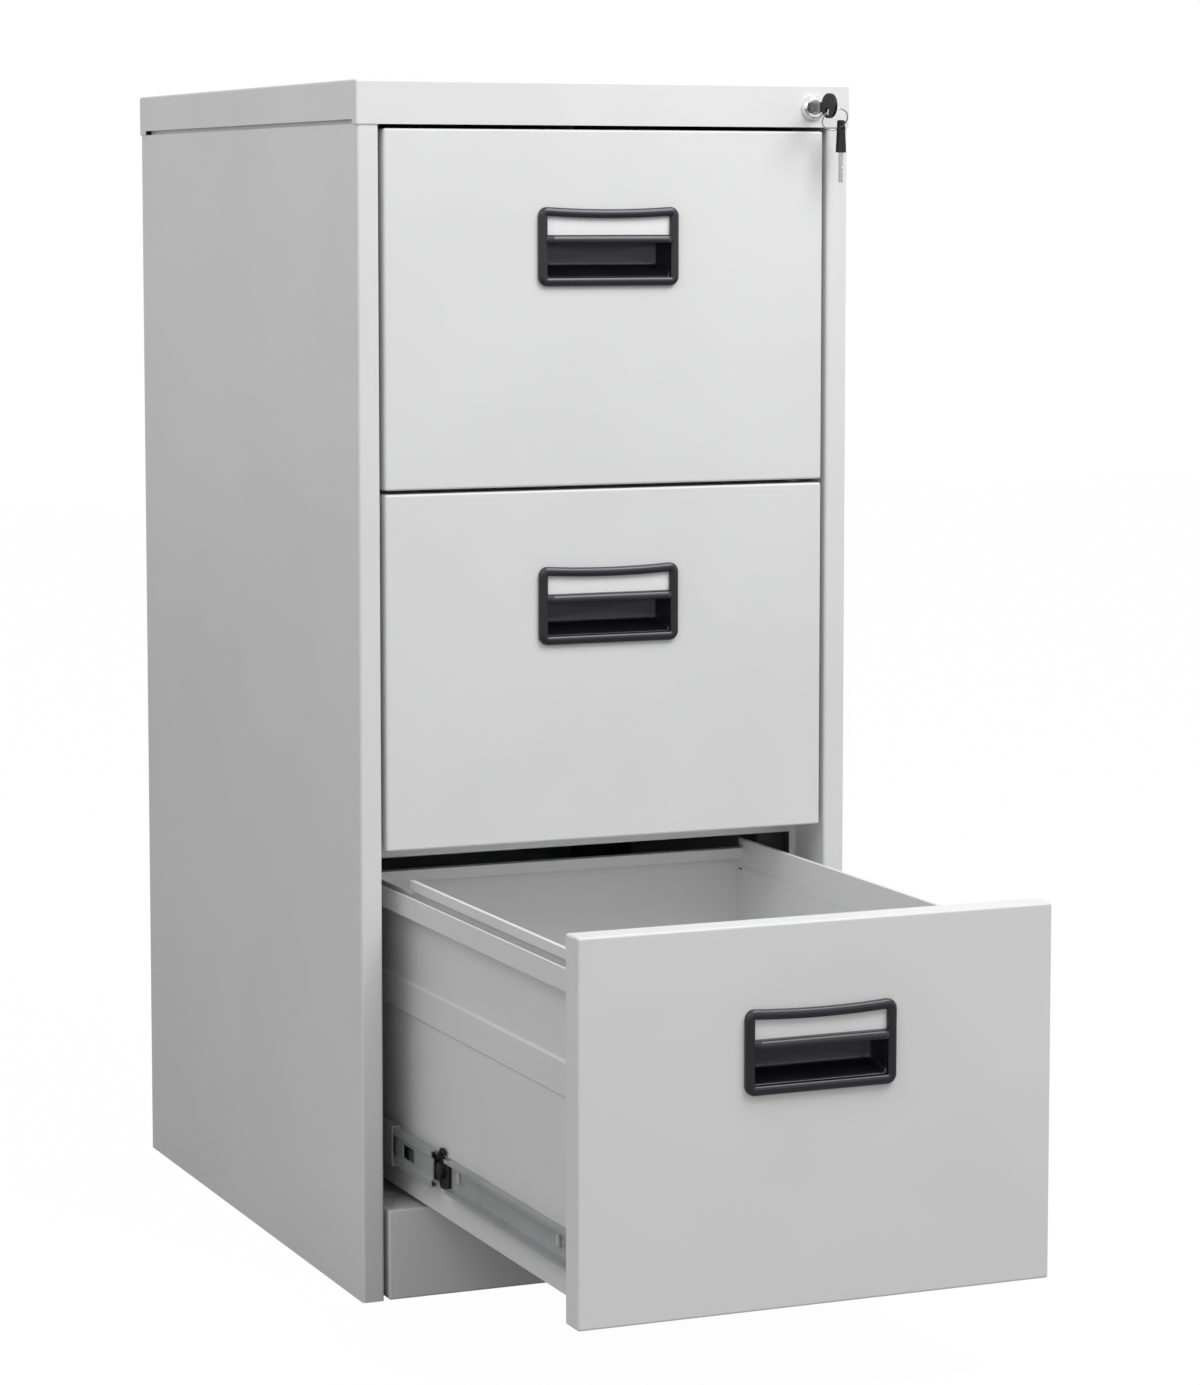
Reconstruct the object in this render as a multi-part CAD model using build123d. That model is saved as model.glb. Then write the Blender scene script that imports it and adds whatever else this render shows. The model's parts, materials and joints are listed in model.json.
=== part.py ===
from build123d import *
import math
import os

# Three-drawer steel filing cabinet, bottom drawer pulled out. Sizes in mm.
# X runs to the right, Y to the back, Z up. Shapes are drawn with Y = 0 in the
# plane of the stiles and of the closed drawer fronts; the origin of the part lies
# behind that plane, on the centre line, in the floor face of the plinth.

# Carcass
BODY_WIDTH = 455.0
BODY_DEPTH = 630.0
TOTAL_HEIGHT = 1040.0
SHEET = 0.8
BEND = 2.0
STILE_WIDTH = 19.5
JAMB_DEPTH = 59.0
JAMB_LIP = 5.6
REAR_RETURN = 15.0
FLOOR_FLANGE = 15.0
RUNNING_GAP = 0.3
ORIGIN_SET_BACK = 12.0
BACK_EDGE = 9.6
SWAGE_RISE = 3.0

# Top cap
CAP_FRONT_HEIGHT = 37.0
CAP_REVEAL = 4.0
CAP_REVEAL_START = 8.0
CAP_REVEAL_END = 612.0
CAP_LIP = 5.1
JOGGLE_DEPTH = 5.4

# Rows of drawers
DRAWER_COUNT = 3
FRONT_GAP = 3.5
FRONT_BOTTOM = 82.0
FRONT_SIDE_GAP = 4.5
FRONT_DEPTH = 23.7
KICK_GAP = 3.5

# Uprights and rails
STEEL = 1.2
UPRIGHT_INSET = 18.0
UPRIGHT_SET_BACK = 100.0
UPRIGHT_DEPTH = 40.0
REAR_UPRIGHT_OVERLAP = 40.0
REAR_UPRIGHT_DEPTH = 55.0
UPRIGHT_TAB = 15.0
UPRIGHT_OVERLAP = 7.0
UPRIGHT_TOP_GAP = 3.0
UPRIGHT_SLOT_WIDTH = 4.0
UPRIGHT_SLOT_HEIGHT = 16.0
UPRIGHT_SLOTS_PER_DRAWER = 2
RAIL_HEIGHT = 18.0
RAIL_TOP_GAP = 1.0
DECK_FLANGE = 28.0
RAIL_DEPTH = 34.0
TOP_RAIL_HEIGHT = 16.0

# Telescopic slides: outer in middle in inner
SLIDE_THICKNESS = 12.7
SLIDE_LENGTH = 500.0
SLIDE_SET_BACK = 30.0
SLIDE_CENTRE = 45.0
OUTER_HALF_HEIGHT = 17.5
OUTER_REACH = 8.7
HOOK_LENGTH = 2.9
INNER_HALF_HEIGHT = 12.6
STAGE_ONE_TRAVEL = 170.0
STAGE_TWO_TRAVEL = 330.0
MIDDLE_WINDOW_OFFSET = 60.0
MIDDLE_WINDOW = (28.0, 12.0)
MIDDLE_STEP = 2.0
MIDDLE_BAND = 5.0
REAR_SCREW_INSET = 20.0
MIDDLE_HOOK_EXTRA = 0.2
SCREW_HEAD_RADIUS = 2.9
SCREW_SHANK_RADIUS = 1.6
SCREW_LENGTH = 5.0
SCREW_HOLE_CLEARANCE = 0.1
LANCE_OFFSETS = (66.0, 286.0)
LANCE_SIZE = (1.4, 3.0, 10.0)
LANCE_HOLE_RADIUS = 2.0

# Release levers on the inner slide members
LEVER_OFFSET = 322.0
LEVER_LENGTH = 30.0
LEVER_PLATE = 2.2
LEVER_TOP = 19.0
LEVER_BOTTOM = 16.0
LEVER_BOSS_RADIUS = 7.0
LEVER_BOSS_THICKNESS = 6.0
LEVER_PIN_RADIUS = 2.0
LEVER_SWING = 10.0
LEVER_NOTCH_MARGIN = 4.0
# Outline of the lever, in shares of its half length and of its reach up or down
LEVER_OUTLINE = (
    (-1.0, -0.55),
    (-0.73, -0.8),
    (-0.13, -1.0),
    (0.33, -0.94),
    (0.47, -0.5),
    (1.0, -0.4),
    (1.0, 0.3),
    (0.6, 0.45),
    (0.53, 0.9),
    (0.2, 1.0),
    (-0.27, 0.9),
    (-0.4, 0.6),
    (-0.8, 0.5),
    (-1.0, 0.2),
)

# Drawer body
SIDE_BOTTOM = 4.0
DRAWER_BACK_MARGIN = 4.0
SIDE_DROP = 27.5
LIP_DROP = 29.0
LIP_HEIGHT = 17.0
LIP_REACH = 11.2
LIP_FOLD = 1.6
RAIL_FOLD = 3.0
CHANNEL_RISE = 2.4
RAIL_HEM = 8.0
BAND_BOTTOM = 157.0
BAND_HEIGHT = 30.0
BAND_PROUD = 2.0
RAIL_CUT_LENGTH = 104.0
RAIL_CUT_DEPTH = 12.0
FLOOR_RIB_COUNT = 3
FLOOR_RIB_WIDTH = 24.0
FLOOR_RIB_RISE = 2.5
FRONT_TAB = 12.0
BACK_DROP = 8.0
BACK_FLANGE = 9.0
LINER_FACE = 24.9

# Handle
HANDLE_WIDTH = 132.0
HANDLE_HEIGHT = 69.0
HANDLE_DROP = 64.0
HANDLE_CORNER = 8.0
HANDLE_PROUD = 5.0
HANDLE_EDGE = 3.0
HANDLE_INNER_EDGE = 2.2
WINDOW_WIDTH = 116.0
WINDOW_HEIGHT = 16.0
WINDOW_SAG = 1.8
WINDOW_DROP = 7.5
GRIP_WIDTH = 122.0
GRIP_HEIGHT = 7.2
GRIP_PROUD = 9.0
GRIP_ROOT = 1.5
GRIP_ROUND = 3.4
POCKET_WIDTH = 117.0
POCKET_HEIGHT = 30.0
POCKET_DEPTH = 18.5
POCKET_WALL = 1.4
POCKET_SIDE_DRAFT = 7.0
POCKET_FLOOR_RISE = 9.0
POCKET_ROOF_DRAFT = 0.8
CARD_MARGIN = 1.8
CARD_THICKNESS = 0.3
CARD_ROOM = 0.6
HANDLE_HOLE_CLEARANCE = 0.5

# Bumpers
BUMPER_RADIUS = 4.0
BUMPER_REACH = 7.0
BUMPER_GAP = 0.5

# Lock, in the right of the cap
LOCK_INSET = 34.2
LOCK_DROP = 20.0
BARREL_FLANGE_RADIUS = 11.0
BARREL_FLANGE = 5.0
BARREL_BEVEL = 3.0
BARREL_EDGE = 1.4
BARREL_RADIUS = 9.0
BARREL_LENGTH = 23.0
PLUG_RADIUS = 6.0
PLUG_PROUD = 1.2
NUT_RADIUS = 12.0
NUT_THICKNESS = 4.0
CAM_THICKNESS = 2.0
CAM_RADIUS = 7.0
CAM_LOBE_RADIUS = 4.4
CRANK = 8.0
CRANK_PIN_RADIUS = 2.0
CRANK_PIN_EXCESS = 0.6
CRANK_SLOT_PLAY = 1.9
BAR_WIDTH = 10.0
BAR_THICKNESS = 2.0
BAR_OUTSET = 1.5
BAR_BOTTOM_LEVEL = 48.0
BAR_GUIDE_LEVEL = 115.0
BAR_GUIDE_HEIGHT = 14.0
BAR_HEAD_HEIGHT = 15.0
BAR_HOOK_LEVEL = 201.0
BAR_HOOK_HEIGHT = 8.0
BAR_HOOK_CLEARANCE = 3.0
CATCH_GAP = 1.0
CATCH_HEIGHT = 12.0
CATCH_THICKNESS = 2.0

# Keys
KEY_THICKNESS = 2.2
KEY_CLEARANCE = 0.1
KEY_TIP_GAP = 1.0
KEY_BLADE_HEIGHT = 7.5
KEY_BLADE_LENGTH = 24.0
KEY_BLADE_SHOWN = 9.7
KEY_BOW_LENGTH = 27.0
KEY_BOW_HEIGHT = 21.5
KEY_BOW_THICKNESS = 2.5
KEY_BOW_RISE = 1.0
KEY_COLLAR_LENGTH = 4.0
KEY_COLLAR_HEIGHT = 9.0
BOW_HOLE_BACK = 14.0
BOW_HOLE_RIM = 1.6
BOW_HOLE_RADIUS = 3.8
RING_WIRE = 0.6
RING_HEADING = (0.65, -0.48, 0.59)
SPARE_TURN = 30.0
SPARE_EDGE_GAP = 0.8
SPARE_HOLE_FRONT = 22.0
SPARE_HOLE_RADIUS = 2.4
SPARE_HOLE_INSET = 6.0
SPARE_HEAD_TOP = 7.5
SPARE_HEAD_BOTTOM = 12.0
SPARE_HEAD_HEIGHT = 28.0
SPARE_HEAD_THICKNESS = 3.0
SPARE_BLADE = 26.0
SPARE_BLADE_WIDTH = 4.6
SPARE_BLADE_THICKNESS = 1.8
KEY_BITS = 4
KEY_BIT_PITCH = 4.5
KEY_BIT_WIDTH = 2.0
KEY_BIT_DEPTHS = (0.8, 1.3, 1.8)

# Rest pose
DRAWER_PULL = (422.0, 0.0, 0.0)
MIDDLE_PULL = (92.0, 0.0, 0.0)

# Worked-out sizes
HALF_WIDTH = BODY_WIDTH / 2
OPENING_HALF = HALF_WIDTH - STILE_WIDTH
FRONT_HALF = OPENING_HALF - FRONT_SIDE_GAP
CAP_BOTTOM = TOTAL_HEIGHT - CAP_FRONT_HEIGHT
CAP_GROWTH = RUNNING_GAP + SHEET
DRAWER_PITCH = (CAP_BOTTOM - FRONT_BOTTOM) / DRAWER_COUNT
FRONT_HEIGHT = DRAWER_PITCH - FRONT_GAP
SIDE_HEIGHT = FRONT_HEIGHT - SIDE_DROP
LIP_BOTTOM = SIDE_HEIGHT - LIP_DROP
KICK_HEIGHT = FRONT_BOTTOM - KICK_GAP
SLIDE_PLANE = OPENING_HALF - UPRIGHT_INSET
TUB_HALF = SLIDE_PLANE - SLIDE_THICKNESS
LIP_BACK = JAMB_DEPTH + SHEET
OUTER_SCREW_OFFSETS = (
    UPRIGHT_SET_BACK + UPRIGHT_DEPTH / 2 - SLIDE_SET_BACK,
    SLIDE_LENGTH - REAR_SCREW_INSET,
)
REAR_UPRIGHT_FACE = SLIDE_SET_BACK + SLIDE_LENGTH - REAR_UPRIGHT_OVERLAP
DRAWER_DEPTH = SLIDE_SET_BACK + SLIDE_LENGTH + DRAWER_BACK_MARGIN
UPRIGHT_TOP = CAP_BOTTOM - UPRIGHT_TOP_GAP
LOCK_X = HALF_WIDTH - LOCK_INSET
LOCK_Z = TOTAL_HEIGHT - LOCK_DROP
BAR_X = OPENING_HALF + BAR_OUTSET
CAP_FACE = -CAP_GROWTH

nodes = {}


def band(path, thickness, bend=0.0):
    """Face of a folded sheet whose middle line is path, with mitred or rounded bends."""
    half = thickness / 2
    normals = []
    for (x0, y0), (x1, y1) in zip(path, path[1:]):
        length = math.hypot(x1 - x0, y1 - y0)
        normals.append(((y0 - y1) / length, (x1 - x0) / length))
    left, right, corners = [], [], []
    for i, (x, y) in enumerate(path):
        before = normals[max(i - 1, 0)]
        after = normals[min(i, len(normals) - 1)]
        scale = half / (1 + before[0] * after[0] + before[1] * after[1])
        dx = (before[0] + after[0]) * scale
        dy = (before[1] + after[1]) * scale
        left.append((x + dx, y + dy))
        right.append((x - dx, y - dy))
        if 0 < i < len(path) - 1:
            turn = before[0] * after[1] - before[1] * after[0]
            inside, outside = (left, right) if turn > 0 else (right, left)
            corners.append((inside[-1], outside[-1]))
    face = make_face(Polyline(*left, *reversed(right), close=True))
    if bend > 0:
        for inside, outside in corners:
            for point, radius in ((inside, bend), (outside, bend + thickness)):
                vertex = face.vertices().sort_by_distance((point[0], point[1], 0))[0]
                face = fillet([vertex], radius)
    return face


def along_x(face, start, end):
    """Solid of a (Y, Z) face, from X = start to X = end."""
    plane = Plane(origin=(start, 0, 0), x_dir=(0, 1, 0), z_dir=(1, 0, 0))
    return extrude(plane * face, end - start)


def along_y(face, start, end):
    """Solid of an (X, Z) face, from Y = start to Y = end."""
    plane = Plane(origin=(0, end, 0), x_dir=(1, 0, 0), z_dir=(0, -1, 0))
    return extrude(plane * face, end - start)


def along_z(face, start, end):
    """Solid of an (X, Y) face, from Z = start to Z = end."""
    return extrude(Plane.XY.offset(start) * face, end - start)


def block(x0, x1, y0, y1, z0, z1):
    """Rectangular block between two limits on each axis."""
    centre = Pos((x0 + x1) / 2, (y0 + y1) / 2, (z0 + z1) / 2)
    return centre * Box(x1 - x0, y1 - y0, z1 - z0)


def rod_x(x0, x1, y, z, radius):
    """Round bar along X."""
    return Pos((x0 + x1) / 2, y, z) * Rot(0, 90, 0) * Cylinder(radius, x1 - x0)


def rod_y(y0, y1, x, z, radius):
    """Round bar along Y."""
    return Pos(x, (y0 + y1) / 2, z) * Rot(90, 0, 0) * Cylinder(radius, y1 - y0)


def other_hand(shape):
    """Mirror image on the other side of the centre line."""
    return mirror(shape, Plane.YZ)


def both_hands(shape):
    """The shape and its mirror image, as separate solids."""
    return [shape, other_hand(shape)]


def rounded_tray(x0, x1, y0, y1, z0, z1, open_side):
    """Folded tray of sheet, open on the side that an axis direction names."""
    outer = block(x0, x1, y0, y1, z0, z1)
    axis = Axis.Y if open_side.Y else Axis.Z
    closed = outer.faces().sort_by(axis)[0 if open_side.Y > 0 else -1]
    outer = fillet(list(closed.edges()) + list(outer.edges().filter_by(axis)), BEND)
    grow_y = SHEET if open_side.Y else -SHEET
    grow_z = SHEET if open_side.Z else -SHEET
    inner = block(
        x0 + SHEET,
        x1 - SHEET,
        y0 + SHEET,
        y1 + grow_y,
        z0 - grow_z,
        z1 - SHEET,
    )
    closed = inner.faces().sort_by(axis)[0 if open_side.Y > 0 else -1]
    edges = list(closed.edges()) + list(inner.edges().filter_by(axis))
    return outer - fillet(edges, BEND - SHEET)


def one_solid(shape):
    """The single solid that a shape holds."""
    solids = shape.solids()
    if len(solids) != 1:
        raise ValueError(f"expected one solid, found {len(solids)}")
    return solids[0]


def add(name, *shapes):
    """Keep one or more solids under a node name, in the frame of the part."""
    placed = Pos(0, -ORIGIN_SET_BACK, 0)
    solids = [placed * s for shape in shapes for s in shape.solids()]
    nodes[name] = solids[0] if len(solids) == 1 else Compound(children=solids)


# Carcass


def side_panel():
    """Left side: stile, jamb with a lip, side, rear return, floor flange and joggle."""
    edge = HALF_WIDTH - SHEET / 2
    jamb = OPENING_HALF + SHEET / 2
    plan = [
        (-OPENING_HALF + JAMB_LIP, JAMB_DEPTH + SHEET / 2),
        (-jamb, JAMB_DEPTH + SHEET / 2),
        (-jamb, SHEET / 2),
        (-edge, SHEET / 2),
        (-edge, BODY_DEPTH - SHEET / 2),
        (-HALF_WIDTH + REAR_RETURN, BODY_DEPTH - SHEET / 2),
    ]
    panel = along_z(band(plan, SHEET, BEND), 0, CAP_BOTTOM)
    shoulder = [
        (-HALF_WIDTH + SHEET / 2, CAP_BOTTOM - SHEET / 2),
        (-HALF_WIDTH + JOGGLE_DEPTH, CAP_BOTTOM - SHEET / 2),
        (-HALF_WIDTH + JOGGLE_DEPTH, TOTAL_HEIGHT - SHEET),
    ]
    panel += along_y(band(shoulder, SHEET), CAP_REVEAL_START, CAP_REVEAL_END)
    corner_tab = [
        (-OPENING_HALF, SHEET / 2),
        (-edge, SHEET / 2),
        (-edge, CAP_REVEAL_START),
    ]
    tab_top = TOTAL_HEIGHT - CAP_FRONT_HEIGHT / 4
    panel += along_z(band(corner_tab, SHEET, BEND), CAP_BOTTOM - SHEET, tab_top)
    flange = block(
        -HALF_WIDTH + SHEET / 2,
        -HALF_WIDTH + FLOOR_FLANGE,
        LIP_BACK + SHEET,
        BODY_DEPTH - SHEET / 2,
        0,
        SHEET,
    )
    return one_solid(panel + flange)


def back_panel():
    """Back with turned top and bottom edges and two pressed swages."""
    line = BODY_DEPTH - 1.5 * SHEET
    bottom = 1.5 * SHEET
    top = TOTAL_HEIGHT - 4 * SHEET
    path = [(line - BACK_EDGE, bottom), (line, bottom)]
    for row in range(1, DRAWER_COUNT):
        z = FRONT_BOTTOM + row * DRAWER_PITCH
        path += [
            (line, z - 3 * SWAGE_RISE),
            (line - SWAGE_RISE, z - 2 * SWAGE_RISE),
            (line - SWAGE_RISE, z + 2 * SWAGE_RISE),
            (line, z + 3 * SWAGE_RISE),
        ]
    path += [(line, top), (line - BACK_EDGE, top)]
    half = HALF_WIDTH - SHEET - BEND
    return along_x(band(path, SHEET), -half, half)


def top_cap():
    """Folded lid; its side skirts stop short and leave a dark reveal over the sides."""
    half = HALF_WIDTH + CAP_GROWTH
    cap = rounded_tray(
        -half,
        half,
        -CAP_GROWTH,
        BODY_DEPTH + CAP_GROWTH,
        CAP_BOTTOM,
        TOTAL_HEIGHT,
        Vector(0, 0, -1),
    )
    reveal_top = CAP_BOTTOM + CAP_REVEAL
    notch = block(
        -half - 1,
        half + 1,
        CAP_REVEAL_START,
        CAP_REVEAL_END,
        CAP_BOTTOM - CAP_REVEAL,
        reveal_top,
    )
    notch = fillet(notch.edges().filter_by(Axis.X), CAP_REVEAL / 2)
    cap -= notch
    for side in (-1, 1):
        lip = block(
            *sorted((side * (half - SHEET / 2), side * (half - CAP_LIP))),
            CAP_REVEAL_START + CAP_REVEAL,
            CAP_REVEAL_END - CAP_REVEAL,
            reveal_top,
            reveal_top + SHEET,
        )
        cap += lip
    cap -= rod_y(CAP_FACE - 1, 1, LOCK_X, LOCK_Z, BARREL_RADIUS + RUNNING_GAP)
    return one_solid(cap)


def base_deck():
    """Deck over the plinth with turned-down front and rear edges."""
    drop = KICK_HEIGHT - DECK_FLANGE
    front = LIP_BACK + SHEET / 2
    rear = BODY_DEPTH - BEND - 1.5 * SHEET
    path = [
        (front, drop),
        (front, KICK_HEIGHT - SHEET / 2),
        (rear, KICK_HEIGHT - SHEET / 2),
        (rear, drop),
    ]
    half = HALF_WIDTH - SHEET
    return along_x(band(path, SHEET), -half, half)


def kick_panel():
    """Plinth front, a tray with all four edges turned back."""
    return one_solid(
        rounded_tray(
            -FRONT_HALF,
            FRONT_HALF,
            0,
            JAMB_DEPTH,
            0,
            KICK_HEIGHT,
            Vector(0, 1, 0),
        )
    )


def channel_rail(z0, z1):
    """Cross rail of channel section between the lips of the jambs."""
    near = JAMB_DEPTH + STEEL / 2
    far = JAMB_DEPTH + RAIL_DEPTH
    low, high = z0 + STEEL / 2, z1 - STEEL / 2
    path = [(far, low), (near, low), (near, high), (far, high)]
    half = OPENING_HALF - JAMB_LIP
    return along_x(band(path, STEEL), -half, half)


def lock_bar_faces():
    """Front and rear Y of the lock bar, which runs behind the lip of the jamb."""
    front_face = LIP_BACK + RUNNING_GAP
    return front_face, front_face + BAR_THICKNESS


def punch_slots(upright, y):
    """Upright with a row of hook slots in its web at depth y."""
    pitch = DRAWER_PITCH / UPRIGHT_SLOTS_PER_DRAWER
    for row in range(DRAWER_COUNT * UPRIGHT_SLOTS_PER_DRAWER):
        z = FRONT_BOTTOM + SLIDE_CENTRE + (row + 0.5) * pitch
        if z + UPRIGHT_SLOT_HEIGHT < UPRIGHT_TOP:
            upright -= block(
                -SLIDE_PLANE - 2 * STEEL,
                -SLIDE_PLANE + STEEL,
                y - UPRIGHT_SLOT_WIDTH / 2,
                y + UPRIGHT_SLOT_WIDTH / 2,
                z - UPRIGHT_SLOT_HEIGHT / 2,
                z + UPRIGHT_SLOT_HEIGHT / 2,
            )
    return one_solid(upright)


def front_upright():
    """Left front upright: stiffening flange, slide web, and a tab on the side."""
    web = -SLIDE_PLANE - STEEL / 2
    wall = -HALF_WIDTH + SHEET + STEEL / 2
    near = UPRIGHT_SET_BACK + STEEL / 2
    far = UPRIGHT_SET_BACK + UPRIGHT_DEPTH
    path = [
        (-OPENING_HALF - UPRIGHT_OVERLAP, near),
        (web, near),
        (web, far),
        (wall, far),
        (wall, far + UPRIGHT_TAB),
    ]
    upright = along_z(band(path, STEEL), KICK_HEIGHT, UPRIGHT_TOP)
    upright = screw_holes(upright, OUTER_SCREW_OFFSETS[0])
    return punch_slots(upright, UPRIGHT_SET_BACK + UPRIGHT_DEPTH / 2)


def rear_upright():
    """Left rear upright of Z section."""
    web = -SLIDE_PLANE - STEEL / 2
    wall = -HALF_WIDTH + SHEET + STEEL / 2
    near = REAR_UPRIGHT_FACE + STEEL / 2
    path = [
        (wall, near - UPRIGHT_TAB),
        (wall, near),
        (web, near),
        (web, near + REAR_UPRIGHT_DEPTH),
    ]
    upright = along_z(band(path, STEEL), KICK_HEIGHT, UPRIGHT_TOP)
    upright = screw_holes(upright, OUTER_SCREW_OFFSETS[1])
    return punch_slots(upright, REAR_UPRIGHT_FACE + REAR_UPRIGHT_DEPTH / 2)


def bumpers():
    """Rubber buffers on the rear uprights that meet the slides of a closed drawer."""
    y = SLIDE_SET_BACK + SLIDE_LENGTH + BUMPER_GAP + BUMPER_RADIUS
    stops = []
    for row in range(DRAWER_COUNT):
        z = FRONT_BOTTOM + row * DRAWER_PITCH + SLIDE_CENTRE
        buffer = rod_x(-SLIDE_PLANE, -SLIDE_PLANE + BUMPER_REACH, y, z, BUMPER_RADIUS)
        stops += both_hands(buffer)
    return stops


# Slides. Their section is drawn as (depth from the upright, height from the centre).


def slide_solid(path):
    """Left slide member from half of its section, a middle line from top to centre."""
    path = path + [(u, -v) for u, v in reversed(path)]
    section = band([(u - SLIDE_PLANE, v) for u, v in path], STEEL)
    return along_y(section, SLIDE_SET_BACK, SLIDE_SET_BACK + SLIDE_LENGTH)


def outer_member():
    """Outer member, screwed to the uprights; its hooks hold the middle member in."""
    lip = OUTER_REACH - STEEL / 2
    high = OUTER_HALF_HEIGHT - STEEL / 2
    path = [(lip, OUTER_HALF_HEIGHT - HOOK_LENGTH), (lip, high), (STEEL / 2, high)]
    member = slide_solid(path)
    for offset in OUTER_SCREW_OFFSETS:
        member -= screw(offset, SCREW_HOLE_CLEARANCE)
    return one_solid(member)


def middle_member():
    """Middle member, nested in the outer one, with a square access window."""
    step = STEEL + RUNNING_GAP
    back = step + STEEL / 2
    lip = OUTER_REACH - step - STEEL / 2
    top = OUTER_HALF_HEIGHT - step
    hook_end = top - HOOK_LENGTH - MIDDLE_HOOK_EXTRA
    flat_end = top - STEEL / 2 - MIDDLE_BAND
    path = [
        (lip, hook_end),
        (lip, top - STEEL / 2),
        (back, top - STEEL / 2),
        (back, flat_end),
        (back + MIDDLE_STEP, flat_end - MIDDLE_STEP),
    ]
    member = slide_solid(path)
    length, height = MIDDLE_WINDOW
    y = SLIDE_SET_BACK + MIDDLE_WINDOW_OFFSET
    x = -SLIDE_PLANE + step
    half = length / 2
    member -= block(x, x + 2 * STEEL + MIDDLE_STEP, y - half, y + half, -height / 2, height / 2)
    return one_solid(member)


def inner_member():
    """Inner member: hat section with hooks behind those of the middle member."""
    root = 2 * (STEEL + RUNNING_GAP) + STEEL / 2
    web = SLIDE_THICKNESS - STEEL / 2
    high = INNER_HALF_HEIGHT - STEEL / 2
    hook_top = OUTER_HALF_HEIGHT - 2 * (STEEL + RUNNING_GAP)
    member = slide_solid([(root, hook_top), (root, high), (web, high)])
    x = -SLIDE_PLANE + SLIDE_THICKNESS - STEEL
    depth, length, height = LANCE_SIZE
    for offset in LANCE_OFFSETS:
        y = SLIDE_SET_BACK + offset
        member += block(x - depth, x, y - length / 2, y + length / 2, -height / 2, height / 2)
        member -= rod_x(x - 1, x + 2 * STEEL, y - 3 * length, -height / 4, LANCE_HOLE_RADIUS)
    y = SLIDE_SET_BACK + LEVER_OFFSET
    reach = LEVER_LENGTH / 2 + LEVER_NOTCH_MARGIN
    notch = block(-SLIDE_PLANE, x, y - reach, y + reach, -OUTER_HALF_HEIGHT, OUTER_HALF_HEIGHT)
    member -= notch
    pin_start = x - LEVER_BOSS_THICKNESS
    member += rod_x(pin_start, x + STEEL / 2, y, 0, LEVER_PIN_RADIUS)
    return one_solid(member)


def screw(offset, grow=0.0):
    """Countersunk screw, flush with the left outer member, or its hole when grown."""
    face = -SLIDE_PLANE + STEEL
    shank, head = SCREW_SHANK_RADIUS + grow, SCREW_HEAD_RADIUS + grow
    profile = Polyline(
        (face, 0),
        (face, head),
        (face - STEEL, shank),
        (face - SCREW_LENGTH, shank),
        (face - SCREW_LENGTH, 0),
        close=True,
    )
    return Pos(0, SLIDE_SET_BACK + offset, 0) * revolve(make_face(profile), Axis.X)


def screw_holes(upright, offset):
    """Upright with the hole of one slide screw at the level of each drawer."""
    for row in range(DRAWER_COUNT):
        z = FRONT_BOTTOM + row * DRAWER_PITCH + SLIDE_CENTRE
        upright -= Pos(0, 0, z) * screw(offset, SCREW_HOLE_CLEARANCE)
    return upright


def release_lever():
    """Left release lever: waisted plate with a finger curl, a tail and a pivot boss."""
    y = SLIDE_SET_BACK + LEVER_OFFSET
    points = []
    for along, up in LEVER_OUTLINE:
        points.append((along * LEVER_LENGTH / 2, up * (LEVER_TOP if up > 0 else LEVER_BOTTOM)))
    outline = Polyline(*points, close=True)
    far = -SLIDE_PLANE + SLIDE_THICKNESS - STEEL - RUNNING_GAP
    plate = along_x(Pos(y, 0) * make_face(outline), far - LEVER_PLATE, far)
    boss = rod_x(far - LEVER_BOSS_THICKNESS, far, y, 0, LEVER_BOSS_RADIUS)
    bore = rod_x(far - 2 * LEVER_BOSS_THICKNESS, far + 1, y, 0, LEVER_PIN_RADIUS + RUNNING_GAP)
    return one_solid(plate + boss - bore)


# Drawer pieces, drawn closed, with Z measured from the bottom edge of the front


def drawer_front():
    """Front tray with a hole behind the pocket of the handle."""
    tray = rounded_tray(
        -FRONT_HALF,
        FRONT_HALF,
        0,
        FRONT_DEPTH,
        0,
        FRONT_HEIGHT,
        Vector(0, 1, 0),
    )
    grow = POCKET_WALL + HANDLE_HOLE_CLEARANCE
    half = POCKET_WIDTH / 2 + grow
    low, high = pocket_limits()
    return one_solid(tray - block(-half, half, -1, 2 * SHEET, low - grow, high + grow))


def handle_top():
    """Height of the top edge of the handle over the bottom of the front."""
    return FRONT_HEIGHT - HANDLE_DROP


def pocket_limits():
    """Lowest and highest Z of the mouth of the pocket."""
    high = handle_top() - WINDOW_DROP - WINDOW_HEIGHT - GRIP_HEIGHT
    return high - POCKET_HEIGHT, high


def pocket_solid(grow, depth):
    """Tapered block of the pocket, grown outwards by the wall."""
    low, high = pocket_limits()
    half = POCKET_WIDTH / 2
    rings = []
    for y, side, floor, roof in (
        (0.0, 0.0, 0.0, 0.0),
        (depth, POCKET_SIDE_DRAFT, POCKET_FLOOR_RISE, POCKET_ROOF_DRAFT),
    ):
        x = half - side + grow
        z0 = low + floor - grow
        z1 = high - roof + grow
        plane = Plane(origin=(0, y, (z0 + z1) / 2), x_dir=(1, 0, 0), z_dir=(0, -1, 0))
        rings.append(plane * Rectangle(2 * x, z1 - z0))
    return loft(rings)


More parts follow.
